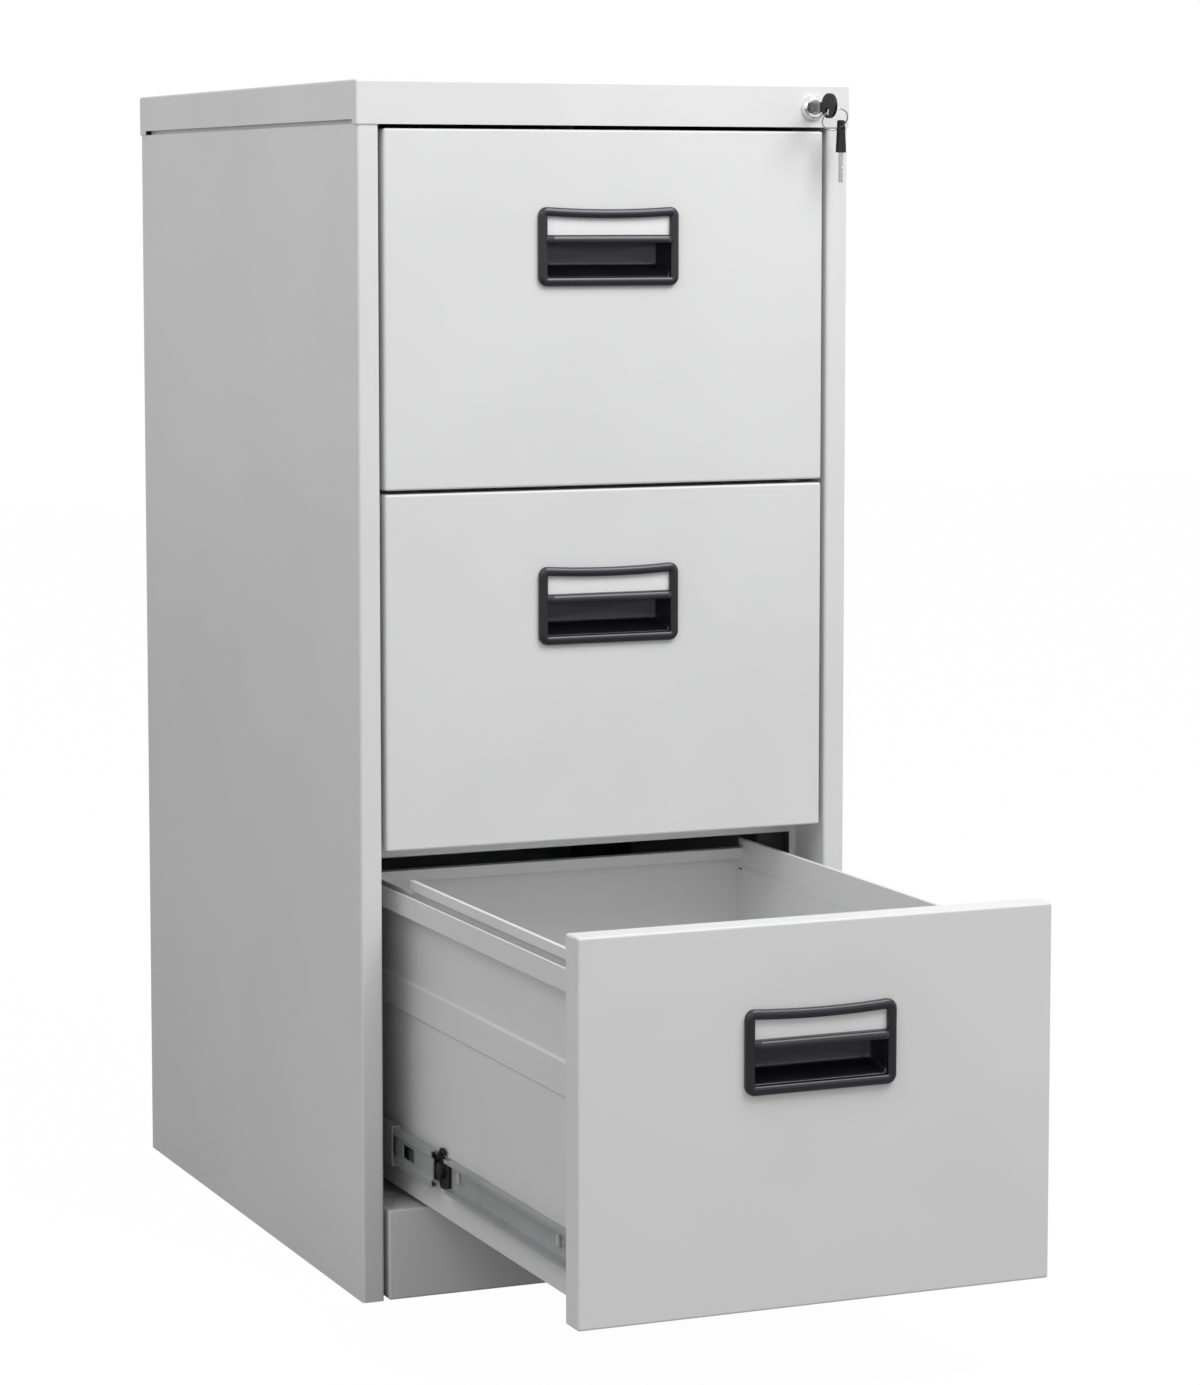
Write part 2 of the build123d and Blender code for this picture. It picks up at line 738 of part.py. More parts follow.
def handle():
    """Recessed pull: bezel with a label window, a finger lip and a tapered pocket."""
    top = handle_top()
    middle = top - HANDLE_HEIGHT / 2
    low, high = pocket_limits()
    rim = RectangleRounded(HANDLE_WIDTH, HANDLE_HEIGHT, HANDLE_CORNER)
    bezel = along_y(Pos(0, middle) * rim, -HANDLE_PROUD, 0)
    window_top = top - WINDOW_DROP
    window_low = window_top - WINDOW_HEIGHT
    half = WINDOW_WIDTH / 2
    sagging_edge = ThreePointArc((-half, window_top), (0, window_top - WINDOW_SAG), (half, window_top))
    sides = Polyline((half, window_top), (half, window_low), (-half, window_low), (-half, window_top))
    bezel -= along_y(make_face([sagging_edge, sides]), -2 * HANDLE_PROUD, 1)
    mouth = POCKET_WIDTH / 2
    bezel -= block(-mouth, mouth, -2 * HANDLE_PROUD, 1, low, high)
    face = bezel.faces().sort_by(Axis.Y)[0]
    bezel = fillet(face.outer_wire().edges(), HANDLE_EDGE)
    face = bezel.faces().sort_by(Axis.Y)[0]
    bezel = fillet([e for wire in face.inner_wires() for e in wire.edges()], HANDLE_INNER_EDGE)
    card_half = WINDOW_WIDTH / 2 + CARD_MARGIN + RUNNING_GAP
    margin = CARD_MARGIN + RUNNING_GAP
    bezel -= block(
        -card_half, card_half, -CARD_ROOM, 1, window_low - margin, window_top + margin
    )
    grip_profile = Pos((GRIP_ROOT + GRIP_PROUD) / -2, high + GRIP_HEIGHT / 2) * Rectangle(
        GRIP_PROUD - GRIP_ROOT, GRIP_HEIGHT
    )
    front_corners = grip_profile.vertices().sort_by(Axis.X)[:2]
    grip_profile = fillet(front_corners, GRIP_ROUND)
    grip = along_x(grip_profile, -GRIP_WIDTH / 2, GRIP_WIDTH / 2)
    shell = pocket_solid(POCKET_WALL, POCKET_DEPTH + POCKET_WALL)
    shell -= pocket_solid(0, POCKET_DEPTH)
    return one_solid(bezel + grip + shell)


def label_card():
    """Blank card behind the window of the handle."""
    window_top = handle_top() - WINDOW_DROP
    half = WINDOW_WIDTH / 2 + CARD_MARGIN
    middle = -CARD_ROOM / 2
    return block(
        -half,
        half,
        middle - CARD_THICKNESS / 2,
        middle + CARD_THICKNESS / 2,
        window_top - WINDOW_HEIGHT - CARD_MARGIN,
        window_top + CARD_MARGIN,
    )


def floor_ribs(half):
    """Middle-line points of the raised floor ribs, from the centre to the left."""
    points = []
    pitch = 2 * half / (FLOOR_RIB_COUNT + 1)
    z = SIDE_BOTTOM + SHEET / 2
    for rib in range(FLOOR_RIB_COUNT):
        x = half - (rib + 1) * pitch
        wide = FLOOR_RIB_WIDTH / 2
        narrow = wide - 2 * FLOOR_RIB_RISE
        points += [
            (x + wide, z),
            (x + narrow, z + FLOOR_RIB_RISE),
            (x - narrow, z + FLOOR_RIB_RISE),
            (x - wide, z),
        ]
    return points


def left_wall_path():
    """Middle line of the left drawer side, from the floor up to the file rail hem."""
    wall = -TUB_HALF + SHEET / 2
    base = SIDE_BOTTOM
    lip = wall - LIP_REACH
    lip_low = base + LIP_BOTTOM
    lip_top = lip_low + LIP_HEIGHT
    rail_top = base + SIDE_HEIGHT - SHEET / 2
    band_low = base + BAND_BOTTOM
    band_top = band_low + BAND_HEIGHT
    return [
        (wall, base + SHEET / 2),
        (wall, band_low),
        (wall - BAND_PROUD, band_low + BAND_PROUD),
        (wall - BAND_PROUD, band_top - BAND_PROUD),
        (wall, band_top),
        (wall, lip_low),
        (lip, lip_low),
        (lip, lip_top),
        (lip + LIP_FOLD, lip_top),
        (lip + LIP_FOLD, lip_low + CHANNEL_RISE),
        (wall, lip_low + CHANNEL_RISE),
        (wall, rail_top),
        (wall - RAIL_FOLD, rail_top),
        (wall - RAIL_FOLD, rail_top - RAIL_HEM),
    ]


def drawer_body():
    """Floor and both sides folded from one sheet, with file rail lips."""
    left = left_wall_path()
    right = [(-x, z) for x, z in left]
    path = list(reversed(right)) + floor_ribs(TUB_HALF) + left
    body = along_y(band(path, SHEET), SHEET, DRAWER_DEPTH)
    rail_top = SIDE_BOTTOM + SIDE_HEIGHT
    body -= block(
        -BODY_WIDTH,
        BODY_WIDTH,
        DRAWER_DEPTH - RAIL_CUT_LENGTH,
        BODY_DEPTH,
        rail_top - RAIL_CUT_DEPTH,
        rail_top + 1,
    )
    for side in (-1, 1):
        inner = TUB_HALF - SHEET / 2
        outer = TUB_HALF + FRONT_TAB
        body += block(
            *sorted((side * inner, side * outer)),
            SHEET,
            2 * SHEET,
            SIDE_BOTTOM + 4 * BEND,
            SIDE_BOTTOM + LIP_BOTTOM - 2 * BEND,
        )
    catch_y = lock_bar_faces()[1] + CATCH_GAP
    catch_top = BAR_HOOK_LEVEL - CATCH_GAP
    body += block(
        TUB_HALF - SHEET / 2,
        SLIDE_PLANE - BAR_HOOK_CLEARANCE,
        catch_y,
        catch_y + CATCH_THICKNESS,
        catch_top - CATCH_HEIGHT,
        catch_top,
    )
    return one_solid(body)


def drawer_back():
    """Back of the drawer with turned top and bottom edges."""
    line = DRAWER_DEPTH - SHEET / 2
    low = SIDE_BOTTOM + SHEET + FLOOR_RIB_RISE + SHEET / 2
    high = SIDE_BOTTOM + SIDE_HEIGHT - BACK_DROP - SHEET / 2
    path = [
        (line - BACK_FLANGE, low),
        (line, low),
        (line, high),
        (line - BACK_FLANGE, high),
        (line - BACK_FLANGE, high - BACK_FLANGE),
    ]
    half = TUB_HALF - SHEET
    return along_x(band(path, SHEET), -half, half)


def front_liner():
    """Inner skin behind the front, joined to it by a top ledge."""
    low = SIDE_BOTTOM + SHEET + FLOOR_RIB_RISE
    high = SIDE_BOTTOM + SIDE_HEIGHT - RAIL_HEM
    path = [(SHEET, high), (LINER_FACE, high), (LINER_FACE, low)]
    half = TUB_HALF - SHEET
    return along_x(band(path, SHEET), -half, half)


# Lock and keys


def lock_barrel():
    """Chromed barrel with a rounded flange on the face of the cap."""
    face = CAP_FACE
    profile = Polyline(
        (PLUG_RADIUS + RUNNING_GAP, face - BARREL_FLANGE),
        (BARREL_FLANGE_RADIUS - BARREL_BEVEL, face - BARREL_FLANGE),
        (BARREL_FLANGE_RADIUS - BARREL_BEVEL / 3, face - BARREL_FLANGE + BARREL_EDGE),
        (BARREL_FLANGE_RADIUS, face - BARREL_EDGE),
        (BARREL_FLANGE_RADIUS, face),
        (BARREL_RADIUS, face),
        (BARREL_RADIUS, face + BARREL_LENGTH),
        (PLUG_RADIUS + RUNNING_GAP, face + BARREL_LENGTH),
        close=True,
    )
    barrel = revolve(make_face(profile), Axis.Y)
    return Pos(LOCK_X, 0, LOCK_Z) * barrel


def lock_nut():
    """Hexagon nut that holds the barrel from inside the cap."""
    start = CAP_FACE + SHEET
    hexagon = RegularPolygon(NUT_RADIUS, 6, major_radius=False)
    nut = along_y(Pos(LOCK_X, LOCK_Z) * hexagon, start, start + NUT_THICKNESS)
    return nut - rod_y(start - 1, start + NUT_THICKNESS + 1, LOCK_X, LOCK_Z, BARREL_RADIUS)


def keyway(grow, y0, y1):
    """Block of the key blade, grown by a clearance."""
    half = KEY_THICKNESS / 2 + grow
    tall = KEY_BLADE_HEIGHT / 2 + grow
    return block(LOCK_X - half, LOCK_X + half, y0, y1, LOCK_Z - tall, LOCK_Z + tall)


def cam_start():
    """Y of the front face of the cam, which turns just ahead of the lock bar."""
    return lock_bar_faces()[0] - RUNNING_GAP - CAM_THICKNESS


def lock_plug():
    """Round plug with the keyway and a square spindle that drives the cam."""
    start = CAP_FACE - BARREL_FLANGE - PLUG_PROUD
    end = CAP_FACE + BARREL_LENGTH + RUNNING_GAP
    plug = rod_y(start, end, LOCK_X, LOCK_Z, PLUG_RADIUS)
    tail = PLUG_RADIUS / 2
    plug += block(
        LOCK_X - tail,
        LOCK_X + tail,
        end - 1,
        cam_start() + CAM_THICKNESS,
        LOCK_Z - tail,
        LOCK_Z + tail,
    )
    return one_solid(plug - keyway(KEY_CLEARANCE, start - 1, start + KEY_BLADE_LENGTH))


def lock_cam():
    """Cam on the tail of the plug, with the crank pin that moves the lock bar."""
    start = cam_start()
    end = start + CAM_THICKNESS
    pin_end = lock_bar_faces()[1] + CRANK_PIN_EXCESS
    pin_x = LOCK_X - CRANK
    cam = rod_y(start, end, LOCK_X, LOCK_Z, CAM_RADIUS)
    cam += rod_y(start, end, pin_x, LOCK_Z, CAM_LOBE_RADIUS)
    cam += rod_y(start, pin_end, pin_x, LOCK_Z, CRANK_PIN_RADIUS)
    tail = PLUG_RADIUS / 2
    hole = block(
        LOCK_X - tail, LOCK_X + tail, start - 1, end + 1, LOCK_Z - tail, LOCK_Z + tail
    )
    return one_solid(cam - hole)


def lock_bar():
    """Upright bar with a slotted head for the crank pin and a hook for each drawer."""
    y0, y1 = lock_bar_faces()
    left, right = BAR_X - BAR_WIDTH / 2, BAR_X + BAR_WIDTH / 2
    top = LOCK_Z + BAR_HEAD_HEIGHT / 2
    bar = block(left, right, y0, y1, FRONT_BOTTOM + BAR_BOTTOM_LEVEL, top)
    pin_x = LOCK_X - CRANK
    play = CRANK_PIN_RADIUS + CRANK_SLOT_PLAY
    head_left = pin_x - play - 4 * STEEL
    bar += block(head_left, right, y0, y1, top - BAR_HEAD_HEIGHT, top)
    bar -= block(pin_x - play, LOCK_X + play, y0 - 1, y1 + 1, LOCK_Z - play, LOCK_Z + play)
    for row in range(DRAWER_COUNT):
        z = FRONT_BOTTOM + row * DRAWER_PITCH + BAR_HOOK_LEVEL
        tip = TUB_HALF + BAND_PROUD + BAR_HOOK_CLEARANCE
        bar += block(tip, right, y0, y1, z, z + BAR_HOOK_HEIGHT)
    return one_solid(bar)


def bar_guides():
    """Guide straps on the lip of the right jamb that the lock bar runs in."""
    y0 = LIP_BACK
    y1 = lock_bar_faces()[1] + RUNNING_GAP
    inner = BAR_WIDTH / 2 + RUNNING_GAP
    straps = []
    for row in range(DRAWER_COUNT):
        z = FRONT_BOTTOM + row * DRAWER_PITCH + BAR_GUIDE_LEVEL
        path = [
            (BAR_X - inner - STEEL / 2, y0),
            (BAR_X - inner - STEEL / 2, y1 + STEEL / 2),
            (BAR_X + inner + STEEL / 2, y1 + STEEL / 2),
            (BAR_X + inner + STEEL / 2, y0),
        ]
        straps.append(along_z(band(path, STEEL), z, z + BAR_GUIDE_HEIGHT))
    return straps


def bow_end():
    """Y of the shoulder between the blade and the collar of the bow."""
    return CAP_FACE - BARREL_FLANGE - PLUG_PROUD - KEY_BLADE_SHOWN


def bow_hole():
    """Place of the ring hole in the bow of the key in the lock."""
    low = LOCK_Z + KEY_BOW_RISE - KEY_BOW_HEIGHT / 2
    return Vector(LOCK_X, bow_end() - BOW_HOLE_BACK, low + BOW_HOLE_RIM + BOW_HOLE_RADIUS)


def key_blade():
    """Steel blade of the key in the lock, with its bits cut from below."""
    inserted = CAP_FACE - BARREL_FLANGE - PLUG_PROUD + KEY_BLADE_LENGTH - KEY_TIP_GAP
    blade = keyway(0, bow_end(), inserted)
    low = LOCK_Z - KEY_BLADE_HEIGHT / 2
    half = KEY_BIT_WIDTH / 2
    for step in range(KEY_BITS):
        y = inserted - (step + 1) * KEY_BIT_PITCH
        cut = KEY_BIT_DEPTHS[step % len(KEY_BIT_DEPTHS)]
        blade -= block(LOCK_X - 2, LOCK_X + 2, y - half, y + half, low - 1, low + cut)
    return one_solid(blade)


def key_bow():
    """Moulded oval bow of the key in the lock, with a collar and the hole for the ring."""
    root = bow_end()
    collar_end = root - KEY_COLLAR_LENGTH
    wide = KEY_BOW_THICKNESS / 2
    centre_y = collar_end - KEY_BOW_LENGTH / 2 + KEY_COLLAR_LENGTH / 4
    oval = Pos(centre_y, LOCK_Z + KEY_BOW_RISE) * Ellipse(KEY_BOW_LENGTH / 2, KEY_BOW_HEIGHT / 2)
    bow = along_x(oval, LOCK_X - wide, LOCK_X + wide)
    tall = KEY_COLLAR_HEIGHT / 2
    bow += block(
        LOCK_X - wide, LOCK_X + wide, centre_y, root, LOCK_Z - tall, LOCK_Z + tall
    )
    hole = bow_hole()
    return one_solid(bow - rod_x(LOCK_X - 5, LOCK_X + 5, hole.Y, hole.Z, BOW_HOLE_RADIUS))


def spare_place():
    """Frame of the spare key: its ring hole, clear of the drawer, X across its head."""
    turn = math.radians(SPARE_TURN)
    reach = SPARE_HEAD_BOTTOM / 2 * math.cos(turn) + SPARE_HEAD_THICKNESS / 2 * math.sin(turn)
    x = FRONT_HALF + SPARE_EDGE_GAP + reach
    return Pos(x, -SPARE_HOLE_FRONT, CAP_BOTTOM) * Rot(0, 0, SPARE_TURN)


def key_ring():
    """Wire ring through both key holes, at an angle to the bow that suits every turn."""
    start = bow_hole()
    chord = spare_place().position - start
    heading = Vector(*RING_HEADING).normalized()
    normal = heading.cross(chord).normalized()
    inward = normal.cross(heading)
    radius = chord.length**2 / (2 * chord.dot(inward))
    plane = Plane(origin=start + inward * radius, x_dir=inward, z_dir=normal)
    return plane * Torus(radius, RING_WIRE)


def spare_head():
    """Tapered plastic head of the spare key, hanging from the ring."""
    top = SPARE_HOLE_INSET
    low = top - SPARE_HEAD_HEIGHT
    narrow, wide = SPARE_HEAD_TOP / 2, SPARE_HEAD_BOTTOM / 2
    outline = Polyline((-narrow, top), (narrow, top), (wide, low), (-wide, low), close=True)
    thick = SPARE_HEAD_THICKNESS / 2
    head = along_y(make_face(outline), -thick, thick)
    head = fillet(head.edges().filter_by(Axis.Y), SPARE_HEAD_THICKNESS / 2)
    return spare_place() * one_solid(head - rod_y(-thick - 1, thick + 1, 0, 0, SPARE_HOLE_RADIUS))


def spare_blade():
    """Steel blade of the spare key, below its head."""
    high = SPARE_HOLE_INSET - SPARE_HEAD_HEIGHT
    low = high - SPARE_BLADE
    thick, wide = SPARE_BLADE_THICKNESS / 2, SPARE_BLADE_WIDTH / 2
    blade = block(-wide, wide, -thick, thick, low, high)
    half = KEY_BIT_WIDTH / 2
    for step in range(KEY_BITS):
        z = low + (step + 1) * KEY_BIT_PITCH
        cut = KEY_BIT_DEPTHS[step % len(KEY_BIT_DEPTHS)]
        blade -= block(wide - cut, wide + 1, -2, 2, z - half, z + half)
    return spare_place() * one_solid(blade)


# Assembly

left_side = side_panel()
add("left_side_panel", left_side)
add("right_side_panel", other_hand(left_side))
add("back_panel", back_panel())
add("top_cap", top_cap())
add("base_deck", base_deck())
add("kick_panel", kick_panel())
add("top_rail", channel_rail(UPRIGHT_TOP - TOP_RAIL_HEIGHT, UPRIGHT_TOP))
for row, name in enumerate(("cross_rail_lower", "cross_rail_upper"), start=1):
    rail_top = FRONT_BOTTOM + row * DRAWER_PITCH + SIDE_BOTTOM - RAIL_TOP_GAP
    add(name, channel_rail(rail_top - RAIL_HEIGHT, rail_top))
for name, upright in (("front_upright", front_upright()), ("rear_upright", rear_upright())):
    add(f"{name}_left", upright)
    add(f"{name}_right", other_hand(upright))
add("rubber_bumpers", *bumpers())

outer, middle, inner = outer_member(), middle_member(), inner_member()
lever = release_lever()
front, body, back, liner = drawer_front(), drawer_body(), drawer_back(), front_liner()
pull, card = handle(), label_card()
all_screws = []
for row in range(DRAWER_COUNT):
    level = FRONT_BOTTOM + row * DRAWER_PITCH
    number = DRAWER_COUNT - row
    fixed = Pos(0, 0, level + SLIDE_CENTRE)
    drawn = Pos(0, -DRAWER_PULL[row], level)
    slid = Pos(0, -DRAWER_PULL[row], level + SLIDE_CENTRE)
    halfway = Pos(0, -MIDDLE_PULL[row], level + SLIDE_CENTRE)
    add(f"slide_outer_{number}", *[fixed * s for s in both_hands(outer)])
    add(f"slide_middle_{number}", *[halfway * s for s in both_hands(middle)])
    add(f"slide_inner_{number}", *[slid * s for s in both_hands(inner)])
    add(f"release_lever_left_{number}", slid * lever)
    add(f"release_lever_right_{number}", slid * other_hand(lever))
    for offset in OUTER_SCREW_OFFSETS:
        all_screws += [fixed * s for s in both_hands(screw(offset))]
    add(f"drawer_front_{number}", drawn * front)
    add(f"drawer_liner_{number}", drawn * liner)
    add(f"drawer_body_{number}", drawn * body)
    add(f"drawer_back_{number}", drawn * back)
    add(f"handle_{number}", drawn * pull)
    add(f"label_card_{number}", drawn * card)
add("slide_screws", *all_screws)

add("lock_barrel", lock_barrel())
add("lock_nut", lock_nut())
add("lock_plug", lock_plug())
add("lock_cam", lock_cam())
add("lock_bar", lock_bar())
add("lock_bar_guides", *bar_guides())
add("key_blade", key_blade())
add("key_bow", key_bow())
add("key_ring", key_ring())
add("spare_key_head", spare_head())
add("spare_key_blade", spare_blade())

os.makedirs("parts", exist_ok=True)
for name, shape in nodes.items():
    export_step(shape, f"parts/{name}.step")
    box = shape.bounding_box()
    print(f"{name}: {len(shape.solids())} solids, {box.min} to {box.max}")
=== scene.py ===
import json
import logging
import math
from dataclasses import dataclass
from enum import Enum
from typing import Any, Mapping, Sequence, Union

import bpy
import numpy as np
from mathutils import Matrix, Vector


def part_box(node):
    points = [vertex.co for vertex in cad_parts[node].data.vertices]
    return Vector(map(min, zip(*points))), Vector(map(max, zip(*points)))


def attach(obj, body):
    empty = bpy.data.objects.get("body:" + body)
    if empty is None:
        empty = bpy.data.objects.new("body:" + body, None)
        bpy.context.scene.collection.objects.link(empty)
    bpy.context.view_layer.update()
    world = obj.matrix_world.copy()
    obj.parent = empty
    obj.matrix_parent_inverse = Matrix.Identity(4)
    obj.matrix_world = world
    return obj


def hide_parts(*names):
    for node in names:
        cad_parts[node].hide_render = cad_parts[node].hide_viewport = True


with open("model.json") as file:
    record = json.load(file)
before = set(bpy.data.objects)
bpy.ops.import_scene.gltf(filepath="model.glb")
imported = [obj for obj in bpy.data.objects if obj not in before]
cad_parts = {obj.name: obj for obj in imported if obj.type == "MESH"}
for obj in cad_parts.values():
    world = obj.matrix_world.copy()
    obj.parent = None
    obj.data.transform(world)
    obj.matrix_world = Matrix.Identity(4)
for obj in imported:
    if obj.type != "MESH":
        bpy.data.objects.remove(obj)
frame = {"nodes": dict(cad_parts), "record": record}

LOG = logging.getLogger("cabinet")
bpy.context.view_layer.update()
Number = Union[float, int]
Colour = tuple[float, float, float]
Point = tuple[float, float, float]

SIDES = ("left", "right")
WHITE = (1.0, 1.0, 1.0, 1.0)
MILLIMETRE = 0.001  # in metres
METRE = 1000  # in millimetres
SHARP_DEGREES = 34  # between faces, past which an edge is shaded sharp


# Shader graphs


class Sock:
    """An output socket of a shader graph; arithmetic on it adds Math nodes."""

    def __init__(self, graph: "Graph", socket: bpy.types.NodeSocket) -> None:
        """Keeps the graph and the socket."""
        self.graph = graph
        self.socket = socket

    def _math(self, operation: str, *values: Union["Sock", Number]) -> "Sock":
        """Adds one Math node.

        Args:
            operation: the Math node's operation.
            values: its inputs in order.

        Returns:
            The node's output.
        """
        node = self.graph.add("ShaderNodeMath", {"operation": operation}, dict(enumerate(values)))
        return Sock(self.graph, node.outputs[0])

    def __add__(self, other: Union["Sock", Number]) -> "Sock":
        """Sum."""
        return self._math("ADD", self, other)

    def __radd__(self, other: Number) -> "Sock":
        """Sum."""
        return self._math("ADD", other, self)

    def __sub__(self, other: Union["Sock", Number]) -> "Sock":
        """Difference."""
        return self._math("SUBTRACT", self, other)

    def __rsub__(self, other: Number) -> "Sock":
        """Difference from a number."""
        return self._math("SUBTRACT", other, self)

    def __mul__(self, other: Union["Sock", Number]) -> "Sock":
        """Product."""
        return self._math("MULTIPLY", self, other)

    def __rmul__(self, other: Number) -> "Sock":
        """Product."""
        return self._math("MULTIPLY", other, self)

    def at_least(self, other: Union["Sock", Number]) -> "Sock":
        """Larger of the two."""
        return self._math("MAXIMUM", self, other)

    def ramp(self, low: Number, high: Number) -> "Sock":
        """Smooth step from 0 at low to 1 at high."""
        node = self.graph.add(
            "ShaderNodeMapRange",
            {"interpolation_type": "SMOOTHSTEP"},
            {"Value": self, "From Min": low, "From Max": high},
        )
        return Sock(self.graph, node.outputs[0])


class Graph:
    """Shader graph of one material or world, with Object coordinates ready as a vector."""

    # Sockets of the Mix node for colours; those for numbers have the same names.
    MIX_FACTOR, MIX_FIRST, MIX_SECOND, MIX_RESULT = 0, 6, 7, 2

    def __init__(self, owner: Union[bpy.types.Material, bpy.types.World]) -> None:
        """Empties the owner's node tree and gives it its output node.

        Args:
            owner: material or world that the graph belongs to.
        """
        self.owner = owner
        owner.use_nodes = True
        self.tree = owner.node_tree
        self.tree.nodes.clear()
        world = isinstance(owner, bpy.types.World)
        end = "ShaderNodeOutputWorld" if world else "ShaderNodeOutputMaterial"
        self.output = self.add(end, {}, {})
        self.place = None if world else self.add("ShaderNodeTexCoord", {}, {}).outputs["Object"]

    @classmethod
    def named(cls, name: str) -> "Graph":
        """Graph of a new material of that name."""
        return cls(bpy.data.materials.new(name))

    def add(
        self, kind: str, settings: Mapping[str, Any], inputs: Mapping[Union[str, int], Any]
    ) -> bpy.types.Node:
        """Adds one node.

        Args:
            kind: Blender's name of the node type.
            settings: properties set first.
            inputs: values or links by socket name or number; None leaves a socket alone.

        Returns:
            The node.
        """
        node = self.tree.nodes.new(kind)
        for key, value in settings.items():
            setattr(node, key, value)
        for key, value in inputs.items():
            socket = node.inputs[key]
            if isinstance(value, Sock):
                value = value.socket
            if isinstance(value, bpy.types.NodeSocket):
                self.tree.links.new(value, socket)
            elif value is not None:
                socket.default_value = value
        return node

    def noise(self, scale: Number, detail: Number, stretch: Sequence[Number] = (1, 1, 1)) -> Sock:
        """Noise from 0 to 1 on Object coordinates.

        Args:
            scale: lumps per metre.
            detail: octaves.
            stretch: factors on the three coordinates.

        Returns:
            The noise value.
        """
        vector = self.place
        if tuple(stretch) != (1, 1, 1):
            inputs = {"Vector": self.place, "Scale": stretch}
            vector = self.add("ShaderNodeMapping", {"vector_type": "POINT"}, inputs).outputs[0]
        node = self.add(
            "ShaderNodeTexNoise", {}, {"Vector": vector, "Scale": scale, "Detail": detail}
        )
        return Sock(self, node.outputs[0])

    def mix(self, factor: Sock, first: Colour, second: Colour) -> bpy.types.NodeSocket:
        """Colour between two colours.

        Args:
            factor: 0 gives the first colour, 1 the second.
            first: one colour.
            second: the other colour.

        Returns:
            The mixed colour.
        """
        inputs = {
            self.MIX_FACTOR: factor, self.MIX_FIRST: (*first, 1.0), self.MIX_SECOND: (*second, 1.0),
        }
        node = self.add("ShaderNodeMix", {"data_type": "RGBA"}, inputs)
        return node.outputs[self.MIX_RESULT]

    def bump(
        self, height: Sock, strength: Number, distance: Number, before: Any = None
    ) -> bpy.types.NodeSocket:
        """Normal disturbed by a height.

        Args:
            height: height from 0 to 1.
            strength: how much of it shows.
            distance: metres that a height of 1 stands for.
            before: normal to start from, or None.

        Returns:
            The normal socket.
        """
        node = self.add(
            "ShaderNodeBump", {},
            {"Height": height, "Strength": strength, "Distance": distance, "Normal": before},
        )
        return node.outputs[0]

    def surface(self, shader: bpy.types.Node) -> None:
        """Ends the graph in a shader."""
        self.tree.links.new(shader.outputs[0], self.output.inputs["Surface"])

    def finish(self, **sockets: Any) -> bpy.types.Material:
        """Ends the graph in one Principled shader.

        Args:
            sockets: values by socket name, with _ for a space.

        Returns:
            The material.
        """
        inputs = {key.replace("_", " "): value for key, value in sockets.items()}
        for key, value in inputs.items():
            if isinstance(value, tuple):
                inputs[key] = (*value, 1.0)
        self.surface(self.add("ShaderNodeBsdfPrincipled", {}, inputs))
        return self.owner


# Finishes


def shade(colour: Colour, factor: float) -> Colour:
    """A colour times a factor."""
    return tuple(factor * channel for channel in colour)


@dataclass(frozen=True)
class PowderCoat:
    """Satin powder coat on sheet steel: faint orange peel and slow waves of the sheet."""

    name: str
    colour: Colour
    roughness: float = 0.42

    def build(self) -> bpy.types.Material:
        """Makes the finish.

        Returns:
            The material.
        """
        g = Graph.named(self.name)
        cloud = g.noise(scale=5.0, detail=3.0)
        colour = g.mix(cloud.ramp(0.35, 0.7), self.colour, shade(self.colour, 0.965))
        peel = g.noise(scale=900.0, detail=2.0)
        waves = g.bump(g.noise(scale=7.0, detail=1.0), strength=0.15, distance=0.002)
        normal = g.bump(peel, strength=0.25, distance=0.00006, before=waves)
        rough = self.roughness + (g.noise(scale=60.0, detail=2.0) - 0.5) * 0.10
        return g.finish(
            Base_Color=colour, Roughness=rough, Normal=normal, Specular_IOR_Level=0.45, IOR=1.47
        )


@dataclass(frozen=True)
class PlatedSteel:
    """Rolled and plated steel: fine grain drawn along Y, dull plating with slight clouds."""

    name: str
    colour: Colour
    roughness: float = 0.48
    metal: float = 0.6
    clouds: float = 0.90

    def build(self) -> bpy.types.Material:
        """Makes the finish.

        Returns:
            The material.
        """
        g = Graph.named(self.name)
        grain = g.noise(scale=600.0, detail=4.0, stretch=(1.0, 0.03, 1.0))
        cloud = g.noise(scale=26.0, detail=3.0)
        mask = (grain * 0.4 + cloud * 0.6).ramp(0.4, 0.62)
        colour = g.mix(mask, self.colour, shade(self.colour, self.clouds))
        rough = self.roughness + (cloud - 0.5) * 0.12 + (grain - 0.5) * 0.10
        normal = g.bump(grain, strength=0.2, distance=0.00005)
        return g.finish(Base_Color=colour, Metallic=self.metal, Roughness=rough, Normal=normal)


@dataclass(frozen=True)
class BlackMoulding:
    """Moulded black plastic: satin or spark-eroded skin with faint flow marks."""

    name: str
    colour: Colour
    roughness: float
    grain: float
    shine: float
    tint: Colour = (1.0, 1.0, 1.0)

    def build(self) -> bpy.types.Material:
        """Makes the finish.

        Returns:
            The material.
        """
        g = Graph.named(self.name)
        skin = g.noise(scale=2600.0, detail=2.0)
        flow = g.noise(scale=30.0, detail=2.0, stretch=(1.0, 1.0, 3.0))
        colour = g.mix(flow.ramp(0.3, 0.8), self.colour, shade(self.colour, 1.5))
        normal = g.bump(skin, strength=self.grain, distance=0.00004)
        rough = self.roughness + (flow - 0.5) * 0.06
        return g.finish(
            Base_Color=colour, Roughness=rough, Normal=normal, Specular_IOR_Level=self.shine,
            Specular_Tint=self.tint, IOR=1.5,
        )


